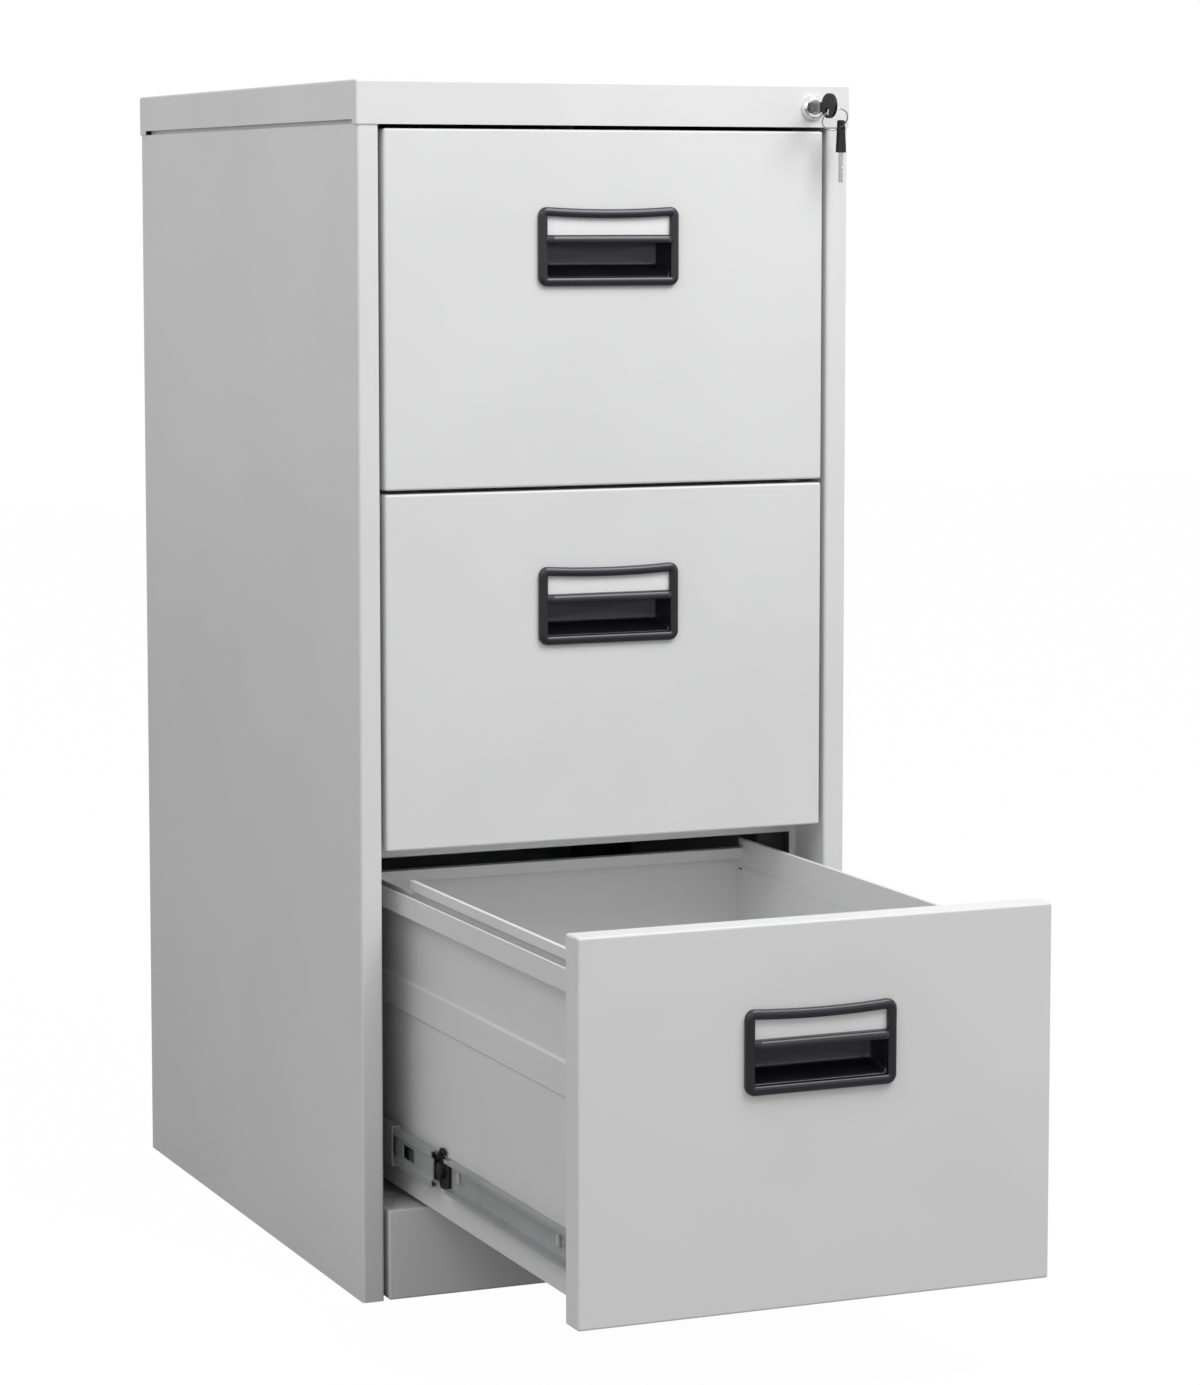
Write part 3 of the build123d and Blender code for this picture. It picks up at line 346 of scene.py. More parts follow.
@dataclass(frozen=True)
class Chrome:
    """Polished chrome with a breath of haze and fine turning marks."""

    name: str
    colour: Colour

    def build(self) -> bpy.types.Material:
        """Makes the finish.

        Returns:
            The material.
        """
        g = Graph.named(self.name)
        haze = g.noise(scale=160.0, detail=3.0)
        colour = g.mix(haze.ramp(0.4, 0.75), self.colour, shade(self.colour, 0.80))
        marks = g.noise(scale=700.0, detail=2.0)
        normal = g.bump(marks, strength=0.12, distance=0.00004)
        rough = 0.07 + haze * 0.09
        return g.finish(Base_Color=colour, Metallic=1.0, Roughness=rough, Normal=normal)


@dataclass(frozen=True)
class Rubber:
    """Dull black rubber with a little dust."""

    name: str
    colour: Colour

    def build(self) -> bpy.types.Material:
        """Makes the finish.

        Returns:
            The material.
        """
        g = Graph.named(self.name)
        dust = g.noise(scale=240.0, detail=3.0)
        colour = g.mix(dust.ramp(0.5, 0.8), self.colour, shade(self.colour, 2.6))
        normal = g.bump(dust, strength=0.4, distance=0.00015)
        return g.finish(Base_Color=colour, Roughness=0.72 + dust * 0.15, Normal=normal)


@dataclass(frozen=True)
class Card:
    """Blank card: paper fibres and a slight mottle."""

    name: str
    colour: Colour

    def build(self) -> bpy.types.Material:
        """Makes the finish.

        Returns:
            The material.
        """
        g = Graph.named(self.name)
        fibre = g.noise(scale=1500.0, detail=4.0, stretch=(0.35, 1.0, 1.0))
        colour = g.mix(fibre.ramp(0.35, 0.75), self.colour, shade(self.colour, 0.95))
        normal = g.bump(fibre, strength=0.3, distance=0.00006)
        return g.finish(Base_Color=colour, Roughness=0.8 + fibre * 0.1, Normal=normal)


class Slot(Enum):
    """Finishes: the eight material slots of the record, then variants for single pieces."""

    LIGHT_GREY_PAINT = PowderCoat("light_grey_paint", (0.795, 0.796, 0.800))
    ZINC_STEEL = PlatedSteel("zinc_steel", (0.47, 0.475, 0.48))
    BLACK_GLOSS_PLASTIC = BlackMoulding(
        "black_gloss_plastic", (0.006, 0.005, 0.009),
        roughness=0.32, grain=0.10, shine=0.68, tint=(0.93, 0.92, 1.0),
    )
    BLACK_PLASTIC = BlackMoulding(
        "black_plastic", (0.007, 0.007, 0.008), roughness=0.50, grain=0.40, shine=0.25
    )
    RUBBER = Rubber("rubber", (0.02, 0.02, 0.02))
    CHROME = Chrome("chrome", (0.86, 0.86, 0.88))
    KEY_STEEL = PlatedSteel("key_steel", (0.52, 0.52, 0.53), roughness=0.26, metal=1.0)
    CARD = Card("card", (0.93, 0.93, 0.93))

    # Painted shade: a near-black coat for the uprights, in place of the shade deep inside the
    # carcass.
    PAINTED_SHADE_COAT = PowderCoat("painted_shade_coat", (0.13, 0.13, 0.135), roughness=0.6)
    TAB_STEEL = PlatedSteel(
        "zinc_steel_sheared", (0.92, 0.92, 0.93), roughness=0.3, metal=0.7, clouds=0.97
    )
    PLUG_FACE = Chrome("plug_face", (0.30, 0.30, 0.32))

    @property
    def slot(self) -> str:
        """Name of the finish, which is also the slot's name where the record has it."""
        return self.value.name


class Wardrobe:
    """Builds each finish once and dresses pieces with it."""

    def __init__(self) -> None:
        """Starts with no finish built and no node dressed."""
        self.built: dict[Slot, bpy.types.Material] = {}
        self.nodes: set[str] = set()

    def material(self, slot: Slot) -> bpy.types.Material:
        """A finish's material, built on first use.

        Args:
            slot: the finish.

        Returns:
            The material.
        """
        if slot not in self.built:
            self.built[slot] = slot.value.build()
        return self.built[slot]

    def dress(self, piece: bpy.types.Object, slot: Slot) -> None:
        """Puts a finish on every face of a piece.

        Args:
            piece: CAD node or new piece.
            slot: the finish.
        """
        piece.data.materials.clear()
        piece.data.materials.append(self.material(slot))
        LOG.info("dressed %s in %s", piece.name, slot.slot)

    def dress_nodes(self, starts: Sequence[str]) -> None:
        """Dresses the CAD nodes whose names start so, in the finish that the record names.

        Args:
            starts: beginnings of node names.
        """
        slots = {slot.slot: slot for slot in Slot}
        for part in frame["record"]["subparts"]:
            node = part["node"]
            if node.startswith(tuple(starts)):
                self.dress(frame["nodes"][node], slots[part["material_slot"]])
                self.nodes.add(node)

    def missed(self) -> list[str]:
        """Nodes that no sub-assembly has dressed."""
        nodes = (part["node"] for part in frame["record"]["subparts"])
        return [node for node in nodes if node not in self.nodes]


# Shapes


def new_object(name: str, data: bpy.types.ID) -> bpy.types.Object:
    """Makes an object of some data and puts it in the scene.

    Args:
        name: name of the object.
        data: its mesh, lamp or camera.

    Returns:
        The object.
    """
    thing = bpy.data.objects.new(name, data)
    bpy.context.scene.collection.objects.link(thing)
    return thing


def in_millimetres(box: Sequence[Sequence[float]]) -> np.ndarray:
    """Low and high corners of a box given in metres, 2 by 3."""
    return np.array(box) * METRE


def six_volumes(triangles: np.ndarray) -> float:
    """Six times the volume between the origin and triangles, n by 3 by 3."""
    first, second, third = triangles[:, 0], triangles[:, 1], triangles[:, 2]
    return np.einsum("ij,ij->i", first, np.cross(second, third)).sum()


class Shell:
    """Mesh gathered from closed grids of points, given in millimetres."""

    def __init__(self) -> None:
        """Starts empty."""
        self.points: list[np.ndarray] = []
        self.faces: list[list[int]] = []
        self.count = 0

    def add(self, grid: np.ndarray, ring: bool = False, flat: bool = False) -> None:
        """Adds one closed surface, turned to face outwards.

        Quads join each point to its neighbours; columns wrap round, and rows wrap too in a
        ring. Otherwise the first and last rows close in fans round their middle points, or in
        one flat face each. The volume under the faces tells whether they look outwards.

        Args:
            grid: points, rows by columns by 3.
            ring: whether the last row joins the first.
            flat: whether the ends are single faces, for an outline with a notch in it.
        """
        rows, columns = grid.shape[:2]
        row, column = np.meshgrid(np.arange(rows - (not ring)), np.arange(columns), indexing="ij")
        below, beside = (row + 1) % rows, (column + 1) % columns
        corners = (
            row * columns + column, row * columns + beside,
            below * columns + beside, below * columns + column,
        )
        quads = np.stack(corners, -1).reshape(-1, 4)
        points = grid.reshape(-1, 3)
        inside = points[quads].mean(axis=(0, 1))
        around = points[quads] - inside
        volume = six_volumes(around[:, [0, 1, 2]]) + six_volumes(around[:, [0, 2, 3]])
        faces = quads.tolist()
        last = (rows - 1) * columns
        if flat:
            faces += [list(range(columns))[::-1], list(range(last, last + columns))]
        elif not ring:
            here = np.arange(columns)
            turn = (here + 1) % columns
            poles = len(points) + np.zeros(columns, int)
            points = np.vstack([points, grid[0].mean(0), grid[-1].mean(0)])
            for end in ((poles, turn, here), (poles + 1, last + here, last + turn)):
                fan = np.stack(end, -1)
                faces += fan.tolist()
                volume += six_volumes(points[fan] - inside)
        if volume < 0:
            faces = [face[::-1] for face in faces]
        self.faces += [[corner + self.count for corner in face] for face in faces]
        self.points.append(points)
        self.count += len(points)

    def piece(self, name: str, body: str, slot: Slot, wardrobe: Wardrobe) -> bpy.types.Object:
        """The gathered mesh as a dressed piece that rides on a body.

        Args:
            name: name of the piece.
            body: CAD body that it moves with.
            slot: its finish.
            wardrobe: finishes built so far.

        Returns:
            The piece.
        """
        mesh = bpy.data.meshes.new(name)
        mesh.from_pydata((np.vstack(self.points) * MILLIMETRE).tolist(), [], self.faces)
        mesh.shade_smooth()
        mesh.set_sharp_from_angle(angle=math.radians(SHARP_DEGREES))
        piece = new_object(name, mesh)
        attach(piece, body)
        wardrobe.dress(piece, slot)
        LOG.info("built %s with %d faces", name, len(self.faces))
        return piece


def full_turn(count: int) -> np.ndarray:
    """Evenly spaced angles round a circle, from 0."""
    return np.linspace(0, 2 * math.pi, count + 1)[:-1]


def rounded_ends(
    low: float, high: float, edge: float, steps: int
) -> tuple[np.ndarray, np.ndarray]:
    """Rows of a shape whose two ends are drawn in by a quarter circle.

    A row's place leaves its end by the radius times 1 minus the cosine, and it is drawn in by
    the radius times 1 minus the sine, over a quarter turn.

    Args:
        low: place of the first row.
        high: place of the last row.
        edge: radius of the quarter circle.
        steps: rows at each end.

    Returns:
        Place of each row, and how far it is drawn in.
    """
    turn = np.linspace(0, math.pi / 2, steps)
    inset = edge * (1 - np.sin(turn))
    along = edge * (1 - np.cos(turn))
    places = np.concatenate([low + along, high - along[::-1]])
    return places, np.concatenate([inset, inset[::-1]])


def rounded_loop(
    half_x: float, half_z: float, radius: float, along: int = 24, round_off: int = 9
) -> tuple[np.ndarray, np.ndarray]:
    """Points and outward directions round a rectangle with rounded corners.

    The direction turns evenly through each corner and holds still along each side. A corner's
    point is its centre plus the radius times the direction; a side's points divide it evenly.

    Args:
        half_x: half the width.
        half_z: half the height.
        radius: corner radius.
        along: points inside each side.
        round_off: points of each corner.

    Returns:
        Points and directions, each n by 2.
    """
    points, directions = [], []
    signs = ((1, 1), (-1, 1), (-1, -1), (1, -1))
    centres = np.array(signs) * (half_x - radius, half_z - radius)
    for corner in range(4):
        angle = np.linspace(corner, corner + 1, round_off) * math.pi / 2
        turning = np.stack([np.cos(angle), np.sin(angle)], -1)
        arc = centres[corner] + radius * turning
        after = centres[(corner + 1) % 4] + radius * turning[-1]
        share = np.linspace(0, 1, along + 2)[1:-1, None]
        points += [arc, arc[-1] * (1 - share) + after * share]
        directions += [turning, np.repeat(turning[-1:], along, 0)]
    return np.vstack(points), np.vstack(directions)


def roof(half: float, proud: float, radius: float, ridge: float, steps: int) -> np.ndarray:
    """Section of a rounded bar, from its + side over the ridge to its - side.

    Height falls from the ridge by the square of the distance over twice the radius, and is
    brought down to nothing at the sides by the eighth root of 1 minus the eighth power of the
    share of the half width. Points crowd towards the sides.

    Args:
        half: half the width.
        proud: height of the ridge.
        radius: radius of the ridge.
        ridge: where the ridge lies across the bar.
        steps: points.

    Returns:
        Across and height, n by 2.
    """
    crowding, bluntness = 0.55, 8
    turn = np.cos(np.linspace(0, math.pi, steps))
    share = np.sign(turn) * abs(turn) ** crowding
    fall = (half * share - ridge) ** 2 / (2 * radius)
    height = (proud - fall) * (1 - abs(share) ** bluntness) ** (1 / bluntness)
    return np.stack([half * share, height], -1)


def bar(
    half_x: float, length: float, half_z: float, squareness: float, edge: float = 0.6
) -> np.ndarray:
    """Straight bar along Y from 0, with rounded edges and ends.

    The section's sides are the half sizes times the cosine and sine, each raised to 2 over the
    squareness with its sign kept.

    Args:
        half_x: half the size along X.
        length: size along Y.
        half_z: half the size along Z.
        squareness: 2 is an oval, more is squarer.
        edge: radius of the ends as a share of the smallest half size.

    Returns:
        Grid of points, rows along Y.
    """
    end_rows, round_points = 5, 28
    radius = edge * min(half_x, half_z, length / 2)
    along, inset = (row[:, None] for row in rounded_ends(0.0, length, radius, end_rows))
    angle = full_turn(round_points)
    cosine, sine = np.cos(angle), np.sin(angle)
    power = 2 / squareness
    x = (half_x - inset) * (np.sign(cosine) * abs(cosine) ** power)
    z = (half_z - inset) * (np.sign(sine) * abs(sine) ** power)
    return np.stack([x, np.broadcast_to(along, x.shape), z], -1)


def plate(outline: np.ndarray, low: float, high: float, edge: float) -> np.ndarray:
    """Plate across X with a smoothed outline in Y and Z and rounded rims.

    Corners are cut twice at a quarter and three quarters of each side. Each rim is the outline
    moved inwards along its normals by a quarter circle.

    Args:
        outline: corners in Y and Z.
        low: lowest X.
        high: highest X.
        edge: radius of the rims.

    Returns:
        Grid of points, rows along X.
    """
    cuts, rim_rows = 2, 4
    for _ in range(cuts):
        after = np.roll(outline, -1, 0)
        outline = np.stack([0.75 * outline + 0.25 * after, 0.25 * outline + 0.75 * after], 1)
        outline = outline.reshape(-1, 2)
    after = np.roll(outline, -1, 0)
    tangent = after - np.roll(outline, 1, 0)
    normal = np.stack([tangent[:, 1], -tangent[:, 0]], -1)
    normal /= np.linalg.norm(normal, axis=1, keepdims=True)
    if (outline[:, 0] * after[:, 1] - after[:, 0] * outline[:, 1]).sum() < 0:
        normal = -normal
    x, inset = rounded_ends(low, high, edge, rim_rows)
    flat = outline[None] - normal[None] * inset[:, None, None]
    return np.concatenate([np.broadcast_to(x[:, None], flat.shape[:2])[..., None], flat], -1)


# Sub-assemblies; their sizes are in millimetres


@dataclass
class Carcass:
    """Housing of folded sheet: panels, cap, deck, rails, uprights, buffers and fixed members."""

    nodes: Sequence[str] = (
        "left_side", "right_side", "back_panel", "top_", "base_", "kick_", "cross_rail",
        "front_upright", "rear_upright", "rubber", "slide_outer", "slide_screws",
    )

    def build(self, wardrobe: Wardrobe) -> None:
        """Dresses its nodes; the uprights inside get a near-black coat, which is painted shade
        standing in for the shade deep inside the carcass.

        Args:
            wardrobe: finishes built so far.
        """
        wardrobe.dress_nodes(self.nodes)
        # Painted shade: the uprights get a near-black coat in place of the shade inside the
        # carcass.
        for side in SIDES:
            for end in ("front", "rear"):
                wardrobe.dress(frame["nodes"][f"{end}_upright_{side}"], Slot.PAINTED_SHADE_COAT)


@dataclass
class Pull:
    """Handle moulding of one drawer: a rounded frame round the card, a grip and a finger cup.

    A drop is measured down from the top edge of the CAD handle.

    Attributes:
        number: the drawer's number.
        half_width: half the frame's width.
        half_height: half the frame's height.
        bottom_drop: drop of the frame's bottom edge.
        half_bar: half the width of the frame's bars.
        corner: outer corner radius of the frame.
        proud: height of the frame's ridge.
        sag: how far the top bar sags in its middle.
        radius: radius of the ridges of frame and grip.
        frame_ridge: where the ridge lies across the frame's bars.
        frame_steps: points over the frame's section.
        clear: how far the backs of the bars stand clear of the card.
        seat: share of the half bar past which the frame rests on the drawer front.
        grip_proud: height of the grip's ridge.
        grip_half: half the height of the grip.
        grip_drop: drop of the grip's middle.
        grip_end: half the length of the grip.
        grip_ridge: where the ridge lies across the grip.
        grip_steps: points over the grip's section.
        grip_rise: length over which the grip rises at each end.
        grip_below: how far under the frame's ridge the grip starts.
        grip_dense: share of the half length where the closer sections start.
        grip_even: share of the half length that the wider sections fill.
        grip_rows: closer sections at each end, and wider ones between.
        cup_half: half the width of the cup's mouth.
        cup_tall: half the height of the cup's mouth.
        cup_drop: drop of the mouth's middle.
        cup_deep: depth of the cup.
        cup_corner: corner radius of the mouth.
        corner_gain: what the corner radius gains for each millimetre of growth.
        side_draft: how far each side comes in over the depth.
        floor_rise: how far the floor rises over the depth.
        roof_draft: how far the roof comes down over the depth.
        wall: thickness of the cup.
    """

    number: int
    half_width: float = 64.9
    half_height: float = 33.9
    bottom_drop: float = 69.0
    half_bar: float = 3.9
    corner: float = 8.0
    proud: float = 5.0
    sag: float = 2.2
    radius: float = 5.4
    frame_ridge: float = -0.3
    frame_steps: int = 39
    clear: float = 0.6
    seat: float = 0.5
    grip_proud: float = 9.0
    grip_half: float = 3.6
    grip_drop: float = 28.8
    grip_end: float = 60.0
    grip_ridge: float = -1.0
    grip_steps: int = 45
    grip_rise: float = 7.0
    grip_below: float = 0.6
    grip_dense: float = 0.86
    grip_even: float = 0.8
    grip_rows: tuple[int, int] = (12, 17)
    cup_half: float = 58.5
    cup_tall: float = 15.0
    cup_drop: float = 45.7
    cup_deep: float = 18.5
    cup_corner: float = 3.5
    corner_gain: float = 0.5
    side_draft: float = 7.0
    floor_rise: float = 9.0
    roof_draft: float = 0.8
    wall: float = 1.4

    def origin(self) -> np.ndarray:
        """Middle of the CAD handle's top edge, on the face of the drawer front."""
        low, high = in_millimetres(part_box(f"handle_{self.number}"))
        return np.array([(low[0] + high[0]) / 2, low[1] + self.grip_proud, high[2]])

    def frame(self) -> np.ndarray:
        """Rounded frame: one section carried round a rounded rectangle whose top side sags.

        The sag is greatest in the middle and falls with the square of x to nothing at the
        sides. The inner part of the section's back stands clear of the card.

        Returns:
            Grid of points, rows round the frame.
        """
        half_x, half_z = self.half_width - self.half_bar, self.half_height - self.half_bar
        loop, direction = rounded_loop(half_x, half_z, self.corner - self.half_bar)
        loop[:, 1] -= np.where(loop[:, 1] > 0, self.sag * (1 - (loop[:, 0] / half_x) ** 2), 0.0)
        section = roof(
            self.half_bar, self.proud, self.radius, self.frame_ridge, self.frame_steps
        )
        seat = self.seat * self.half_bar
        inner = section[:, 0] < seat
        section[inner, 1] = np.maximum(section[inner, 1], self.clear)
        section = np.vstack([section, (seat, self.clear), (seat, 0.0)])
        flat = loop[:, None, :] + direction[:, None, :] * section[None, :, :1]
        out = np.broadcast_to(-section[None, :, 1:], flat[..., :1].shape)
        drop = self.bottom_drop - self.half_height
        return np.concatenate([flat[..., :1], out, flat[..., 1:] - drop], -1)

    def grip(self) -> np.ndarray:
        """Rounded bar under the card, which rises from the frame at both ends.

        The rise is a smooth step: 3 times the square of the share risen, less twice its cube.

        Returns:
            Grid of points, rows along X.
        """
        ends, between = self.grip_rows
        share = np.concatenate([
            np.linspace(-1, -self.grip_dense, ends),
            np.linspace(-self.grip_even, self.grip_even, between),
            np.linspace(self.grip_dense, 1, ends),
        ])
        x = share * self.grip_end
        rise = np.clip((self.grip_end - abs(x)) / self.grip_rise, 0, 1)
        rise = rise * rise * (3 - 2 * rise)
        section = roof(
            self.grip_half, self.grip_proud, self.radius, self.grip_ridge, self.grip_steps
        )
        start = (self.proud - self.grip_below) / self.grip_proud
        height = start + (1 - start) * rise
        out = -np.maximum(section[None, :, 1] * height[:, None], self.clear)
        tall = np.broadcast_to(section[None, :, 0] - self.grip_drop, out.shape)
        return np.stack([np.broadcast_to(x[:, None], out.shape), out, tall], -1)

    def cup_profile(self) -> list[tuple[float, float]]:
        """Depth of each of the cup's rings, and how far it has grown from the mouth.

        Returns:
            Rings from the outer back over the rim to the inner back.
        """
        deep, wall = self.cup_deep, self.wall
        outside = [(deep + wall, -1.6), (deep + wall - 0.4, 0.6), (deep - 0.6, wall), (0.3, wall)]
        rim = [(0.0, wall - 0.3), (0.0, 0.3), (0.35, 0.0)]
        inside = [(3.0, 0.0), (8.0, 0.0), (13.0, 0.0)]
        fillet = [(deep - 2.2, -0.05), (deep - 1.0, -0.45), (deep - 0.3, -1.3), (deep, -2.6)]
        return outside + rim + inside + fillet

    def cup(self) -> np.ndarray:
        """Finger cup: rings from the outer back to the mouth's rim and in to the inner back.

        A ring is the mouth's rounded rectangle, narrowed by the drafts in proportion to its
        depth, with its floor rising, and then grown or shrunk by the wall and the fillets.

        Returns:
            Grid of points, a row for each ring.
        """
        rows = []
        for deep, grow in self.cup_profile():
            share = min(deep / self.cup_deep, 1.0)
            top = self.cup_tall - self.roof_draft * share + grow
            bottom = self.floor_rise * share - self.cup_tall - grow
            half_x = self.cup_half - self.side_draft * share + grow
            corner = self.cup_corner + grow * self.corner_gain
            loop, _ = rounded_loop(half_x, (top - bottom) / 2, corner)
            tall = loop[:, 1] + (top + bottom) / 2 - self.cup_drop
            rows.append(np.stack([loop[:, 0], np.full(len(loop), deep), tall], -1))
        return np.array(rows)

    def build(self, wardrobe: Wardrobe) -> None:
        """Makes the moulding in place of its CAD node.

        Args:
            wardrobe: finishes built so far.
        """
        shell = Shell()
        origin = self.origin()
        shell.add(self.frame() + origin, ring=True)
        shell.add(self.grip() + origin)
        shell.add(self.cup() + origin)
        body = f"drawer_{self.number}"
        pull = shell.piece(f"pull_{self.number}", body, Slot.BLACK_GLOSS_PLASTIC, wardrobe)
        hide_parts(f"handle_{self.number}")


@dataclass
class Drawer:
    """One drawer: front, liner, folded body and back, with its pull and its rail trims.

    Attributes:
        number: its number.
        strip_low: bottom of the seam strips over the bottom of the drawer front.
        strip_high: their top, measured in the same way.
        strip_thick: their thickness.
        strip_start: gap between the liner and the strips.
        strip_extra: what their length has over the distance from the liner to the drawer back.
        strip_square: squareness of their section.
        rail_length: length of the rail's rear end.
        rail_tall: its height.
        rail_wide: its width.
        rail_back: how far it starts inside the rail.
        rail_extra: what its whole length has over rail_length.
        rail_square: squareness of its section.
        rail_edge: radius of its ends, as a share of its smallest half size.
    """

    number: int
    strip_low: float = 249.4
    strip_high: float = 255.2
    strip_thick: float = 0.5
    strip_start: float = 0.05
    strip_extra: float = 0.9
    strip_square: float = 4.0
    rail_length: float = 104.0
    rail_tall: float = 12.0
    rail_wide: float = 3.8
    rail_back: float = 0.5
    rail_extra: float = 0.4
    rail_square: float = 30.0
    rail_edge: float = 0.1

    def trims(self, wardrobe: Wardrobe) -> None:
        """Painted seam strips under both file rails, and the rear end of the right rail.

        Each is a straight bar: the strips lie on the inner walls from the liner to the drawer
        back, and the rail's end runs on from the rail to the back edge of the wall.

        Args:
            wardrobe: finishes built so far.
        """
        number = self.number
        front_low, _ = in_millimetres(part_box(f"drawer_front_{number}"))
        _, liner = in_millimetres(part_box(f"drawer_liner_{number}"))
        back, _ = in_millimetres(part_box(f"drawer_back_{number}"))
        _, body = in_millimetres(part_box(f"drawer_body_{number}"))
        shell = Shell()
        half, thin = (self.strip_high - self.strip_low) / 2, self.strip_thick / 2
        strip = bar(thin, back[1] - liner[1] + self.strip_extra, half, self.strip_square)
        level = front_low[2] + self.strip_low + half
        for way in (-1, 1):
            shell.add(strip + (way * (liner[0] - thin), liner[1] + self.strip_start, level))
        wide, tall = self.rail_wide / 2, self.rail_tall / 2
        length = self.rail_length + self.rail_extra
        end = bar(wide, length, tall, self.rail_square, self.rail_edge)
        start = body[1] - self.rail_length - self.rail_back
        shell.add(end + (liner[0] + wide, start, body[2] - tall))
        shell.piece(f"rail_trims_{number}", f"drawer_{number}", Slot.LIGHT_GREY_PAINT, wardrobe)

    def build(self, wardrobe: Wardrobe) -> None:
        """Dresses its nodes and adds its pull and trims.

        Args:
            wardrobe: finishes built so far.
        """
        kinds = ("front", "liner", "body", "back")
        wardrobe.dress_nodes([f"drawer_{kind}_{self.number}" for kind in kinds])
        wardrobe.dress_nodes([f"handle_{self.number}", f"label_card_{self.number}"])
        Pull(self.number).build(wardrobe)
        self.trims(wardrobe)


@dataclass
class SlideSet:
    """Moving members of one drawer's pair of slides, with their levers and lance tabs.

    Attributes:
        number: the drawer's number.
        lever_edge: radius of the lever plate's rims.
        lever_thick: thickness of the lever plate.
        boss_radius: radius of the pivot boss.
        boss_points: points round the boss.
        boss_sink: how far the boss starts inside the plate.
        boss_backs: how far each further ring of the boss is back from its end.
        boss_shares: radius of each ring as a share of the boss's.
        up: reach of the lever over its pivot.
        down: reach of the lever under its pivot.
        tab_offsets: places of the tabs along the inner member.
        tab_deep: how far a tab stands out.
        tab_half_long: half the size of a tab along the member.
        tab_half_tall: half the height of a tab.
        tab_square: squareness of a tab.
        tab_sink: how far a tab starts inside the member.
        web_back: distance of the member's web from the lever's inner face.
        outline: corners of the lever, as shares of its half length and of its reach.
    """

    number: int
    lever_edge: float = 0.5
    lever_thick: float = 2.2
    boss_radius: float = 7.0
    boss_points: int = 40
    boss_sink: float = 0.4
    boss_backs: tuple[float, ...] = (0.9, 0.2, 0.0)
    boss_shares: tuple[float, ...] = (1.0, 1.0, 0.97, 0.9)
    up: float = 19.0
    down: float = 16.0
    tab_offsets: tuple[float, float] = (71.5, 291.5)
    tab_deep: float = 0.9
    tab_half_long: float = 1.0
    tab_half_tall: float = 4.6
    tab_square: float = 5.0
    tab_sink: float = 0.05
    web_back: float = 0.3
    outline: tuple[tuple[float, float], ...] = (
        (-1.0, -0.72), (-0.88, -0.86), (-0.4, -0.94), (0.05, -1.0), (0.36, -0.98), (0.45, -0.8),
        (0.5, -0.5), (0.95, -0.4), (1.0, -0.3), (1.0, 0.25), (0.95, 0.32), (0.6, 0.42),
        (0.56, 0.75), (0.48, 0.92), (0.25, 1.0), (-0.1, 0.98), (-0.32, 0.88), (-0.36, 0.76),
        (-0.2, 0.72), (0.08, 0.74), (0.16, 0.66), (0.05, 0.58), (-0.35, 0.55), (-0.8, 0.52),
        (-0.95, 0.45), (-1.0, 0.35),
    )

    def lever(self, side: str, wardrobe: Wardrobe) -> None:
        """Release lever in place of its CAD node: notched plate with a curl, and its boss.

        The boss is a stack of circles about the pivot, narrower towards its end.

        Args:
            side: left or right.
            wardrobe: finishes built so far.
        """
        node = f"release_lever_{side}_{self.number}"
        low, high = in_millimetres(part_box(node))
        way = -1 if side == "left" else 1
        near, far = (high[0], low[0]) if side == "left" else (low[0], high[0])
        pivot = np.array([0.0, (low[1] + high[1]) / 2, low[2] + self.down])
        along, reach = np.array(self.outline).T
        along = along * ((high[1] - low[1]) / 2)
        reach = reach * np.where(reach > 0, self.up, self.down)
        face = near + way * self.lever_thick
        shell = Shell()
        corners = np.stack([along, reach], -1)
        shell.add(plate(corners, *sorted((near, face)), self.lever_edge) + pivot, flat=True)
        angle = full_turn(self.boss_points)
        radii = np.array(self.boss_shares)[:, None] * self.boss_radius
        out = [face - way * self.boss_sink, *(far - way * back for back in self.boss_backs)]
        out = np.broadcast_to(np.array(out)[:, None], (len(out), self.boss_points))
        shell.add(np.stack([out, radii * np.cos(angle), radii * np.sin(angle)], -1) + pivot)
        body = f"lever_{side}_{self.number}"
        piece = shell.piece(f"curl_{side}_{self.number}", body, Slot.BLACK_PLASTIC, wardrobe)
        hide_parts(node)

    def tabs(self, wardrobe: Wardrobe) -> None:
        """Bright sheared faces of the two lances of each inner member: small upright bars.

        Args:
            wardrobe: finishes built so far.
        """
        low, high = in_millimetres(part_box(f"slide_inner_{self.number}"))
        _, lever = in_millimetres(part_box(f"release_lever_left_{self.number}"))
        web = lever[0] + self.web_back
        half = self.tab_deep / 2
        upright = bar(half, 2 * self.tab_half_tall, self.tab_half_long, self.tab_square)
        upright = upright[..., [0, 2, 1]]
        level = (low[2] + high[2]) / 2 - self.tab_half_tall
        shell = Shell()
        for way in (-1, 1):
            for offset in self.tab_offsets:
                across = way * (abs(web) + half - self.tab_sink)
                shell.add(upright + (across, low[1] + offset, level))
        shell.piece(f"lance_tabs_{self.number}", f"drawer_{self.number}", Slot.TAB_STEEL, wardrobe)

    def build(self, wardrobe: Wardrobe) -> None:
        """Dresses its nodes and adds its levers and tabs.

        Args:
            wardrobe: finishes built so far.
        """
        kinds = ("slide_middle", "slide_inner", "release_lever_left", "release_lever_right")
        wardrobe.dress_nodes([f"{kind}_{self.number}" for kind in kinds])
        for side in SIDES:
            self.lever(side, wardrobe)
        self.tabs(wardrobe)


@dataclass
class LockSet:
    """Lock with its key, ring and spare key, and the bar that is coupled to its plug."""

    nodes: Sequence[str] = ("lock_", "key_", "spare_key")

    def build(self, wardrobe: Wardrobe) -> None:
        """Dresses its nodes; the plug's face is duller than the barrel."""
        wardrobe.dress_nodes(self.nodes)
        wardrobe.dress(frame["nodes"]["lock_plug"], Slot.PLUG_FACE)


# Studio, in metres


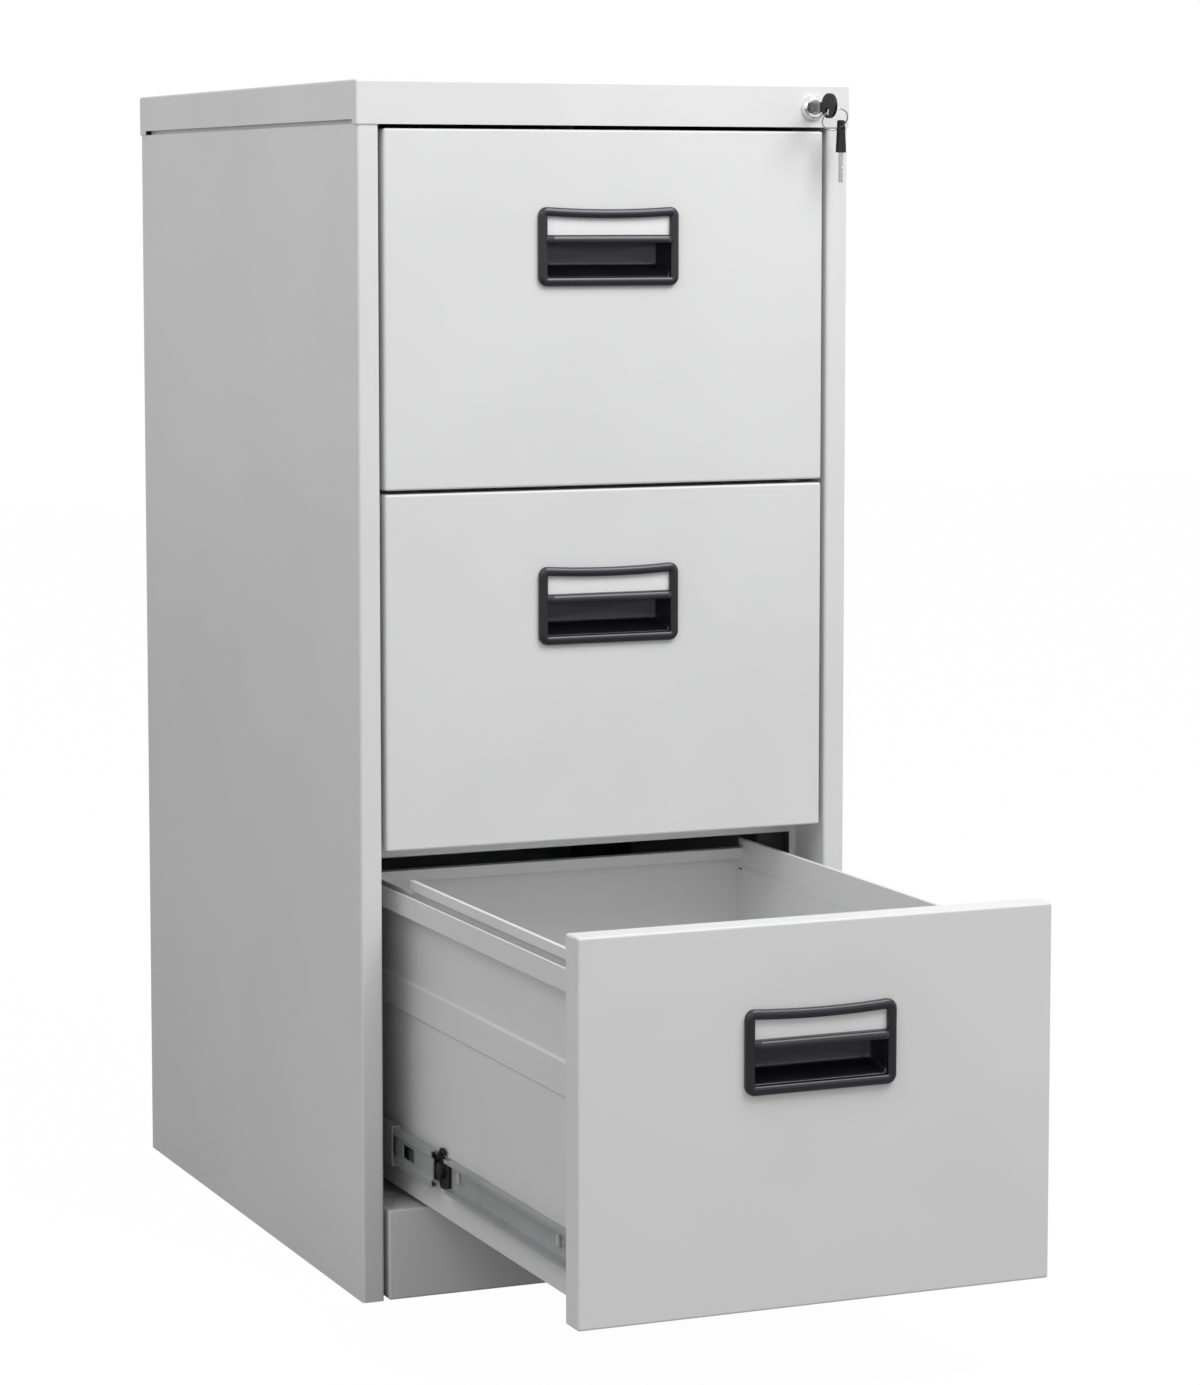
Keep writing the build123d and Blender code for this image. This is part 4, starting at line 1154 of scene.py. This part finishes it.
@dataclass
class Camera:
    """Camera fitted to the photograph's outlines.

    Attributes:
        place: where it stands.
        yaw: radians that it looks to the right of straight back.
        pitch: radians that it looks down.
        focal_pixels: focal length in the photograph's pixels.
        frame_width: width of the photograph in pixels.
        frame_height: height of the photograph in pixels.
        axis_x: pixel column of its axis.
        axis_y: pixel row of its axis.
        sensor: millimetres of sensor for the frame's height.
        sight: how far it sees.
    """

    place: Point = (-1.35842, -3.22064, 0.93522)
    yaw: float = 0.398468
    pitch: float = 0.096975
    focal_pixels: float = 4055.27
    frame_width: int = 1200
    frame_height: int = 1385
    axis_x: float = 600.0
    axis_y: float = 600.0
    sensor: float = 36.0
    sight: float = 60.0

    def build(self) -> None:
        """Makes the scene's camera, shifted by the place of its axis in the frame."""
        data = bpy.data.cameras.new("camera")
        camera = new_object("camera", data)
        camera.location = self.place
        camera.rotation_euler = (math.pi / 2 - self.pitch, 0.0, -self.yaw)
        data.sensor_width = self.sensor
        data.lens = self.focal_pixels / self.frame_height * self.sensor
        data.shift_x = (self.frame_width / 2 - self.axis_x) / self.frame_height
        data.shift_y = (self.axis_y - self.frame_height / 2) / self.frame_height
        data.clip_end = self.sight
        bpy.context.scene.camera = camera


@dataclass(frozen=True)
class Lamp:
    """Square area lamp that faces a point.

    Attributes:
        name: its name.
        place: where it stands.
        target: point that it faces.
        size: side of the square.
        power: watts.
    """

    name: str
    place: Point
    target: Point
    size: float
    power: float

    def build(self) -> None:
        """Makes the lamp."""
        data = bpy.data.lights.new(self.name, "AREA")
        data.size = self.size
        data.energy = self.power
        lamp = new_object(self.name, data)
        lamp.location = self.place
        away = Vector(self.place) - Vector(self.target)
        lamp.rotation_euler = away.to_track_quat("Z", "Y").to_euler()


@dataclass
class Studio:
    """Pale floor, white surround and soft lamps.

    Attributes:
        surround: light of the surround on the object; rays that see it get 1.
        floor_half: half the side of the floor.
        floor_colour: grey of the floor in the light that it throws back.
        glow: strength of the floor's white as the camera sees it.
        glow_share: share of that white in what the camera sees.
        lamps: the lamps.
    """

    surround: float = 0.54
    floor_half: float = 9.0
    floor_colour: float = 0.40
    glow: float = 1.06
    glow_share: float = 0.92
    lamps: tuple[Lamp, ...] = (
        Lamp("key", place=(0.7, -1.3, 2.3), target=(0.0, 0.0, 0.7), size=1.2, power=31.0),
        Lamp("fill", place=(-1.8, -1.2, 2.3), target=(-0.2, 0.2, 0.9), size=1.4, power=12.0),
    )

    def world(self) -> None:
        """Even surround that camera, glossy and transmission rays see as white."""
        world = bpy.data.worlds.new("surround")
        bpy.context.scene.world = world
        g = Graph(world)
        rays = g.add("ShaderNodeLightPath", {}, {})
        camera, glossy, through = (
            Sock(g, rays.outputs[f"Is {kind} Ray"]) for kind in ("Camera", "Glossy", "Transmission")
        )
        strength = self.surround + (1 - self.surround) * camera.at_least(glossy).at_least(through)
        g.surface(g.add("ShaderNodeBackground", {}, {"Color": WHITE, "Strength": strength}))

    def floor(self) -> None:
        """Pale floor under the object; camera rays see it nearly white, with its shadow."""
        half = self.floor_half
        corners = [(-half, -half, 0), (half, -half, 0), (half, half, 0), (-half, half, 0)]
        mesh = bpy.data.meshes.new("floor")
        mesh.from_pydata(corners, [], [(0, 1, 2, 3)])
        floor = new_object("floor", mesh)
        g = Graph.named("floor")
        level = self.floor_colour
        diffuse = g.add("ShaderNodeBsdfDiffuse", {}, {"Color": (level, level, level, 1.0)})
        glow = g.add("ShaderNodeEmission", {}, {"Color": WHITE, "Strength": self.glow})
        rays = g.add("ShaderNodeLightPath", {}, {})
        share = Sock(g, rays.outputs["Is Camera Ray"]) * self.glow_share
        inputs = {0: share, 1: diffuse.outputs[0], 2: glow.outputs[0]}
        g.surface(g.add("ShaderNodeMixShader", {}, inputs))
        mesh.materials.append(g.owner)

    def build(self) -> None:
        """Makes the floor, the surround and the lamps."""
        self.floor()
        self.world()
        for lamp in self.lamps:
            lamp.build()


def main() -> None:
    """Builds the sub-assemblies in order, then the studio and the camera."""
    logging.basicConfig(level=logging.INFO)
    wardrobe = Wardrobe()
    Carcass().build(wardrobe)
    for number in (3, 2, 1):
        SlideSet(number).build(wardrobe)
        Drawer(number).build(wardrobe)
    LockSet().build(wardrobe)
    if wardrobe.missed():
        raise RuntimeError(f"not dressed: {wardrobe.missed()}")
    Studio().build()
    Camera().build()
    bpy.context.scene.view_settings.view_transform = "Standard"


if __name__ == "__main__":
    main()
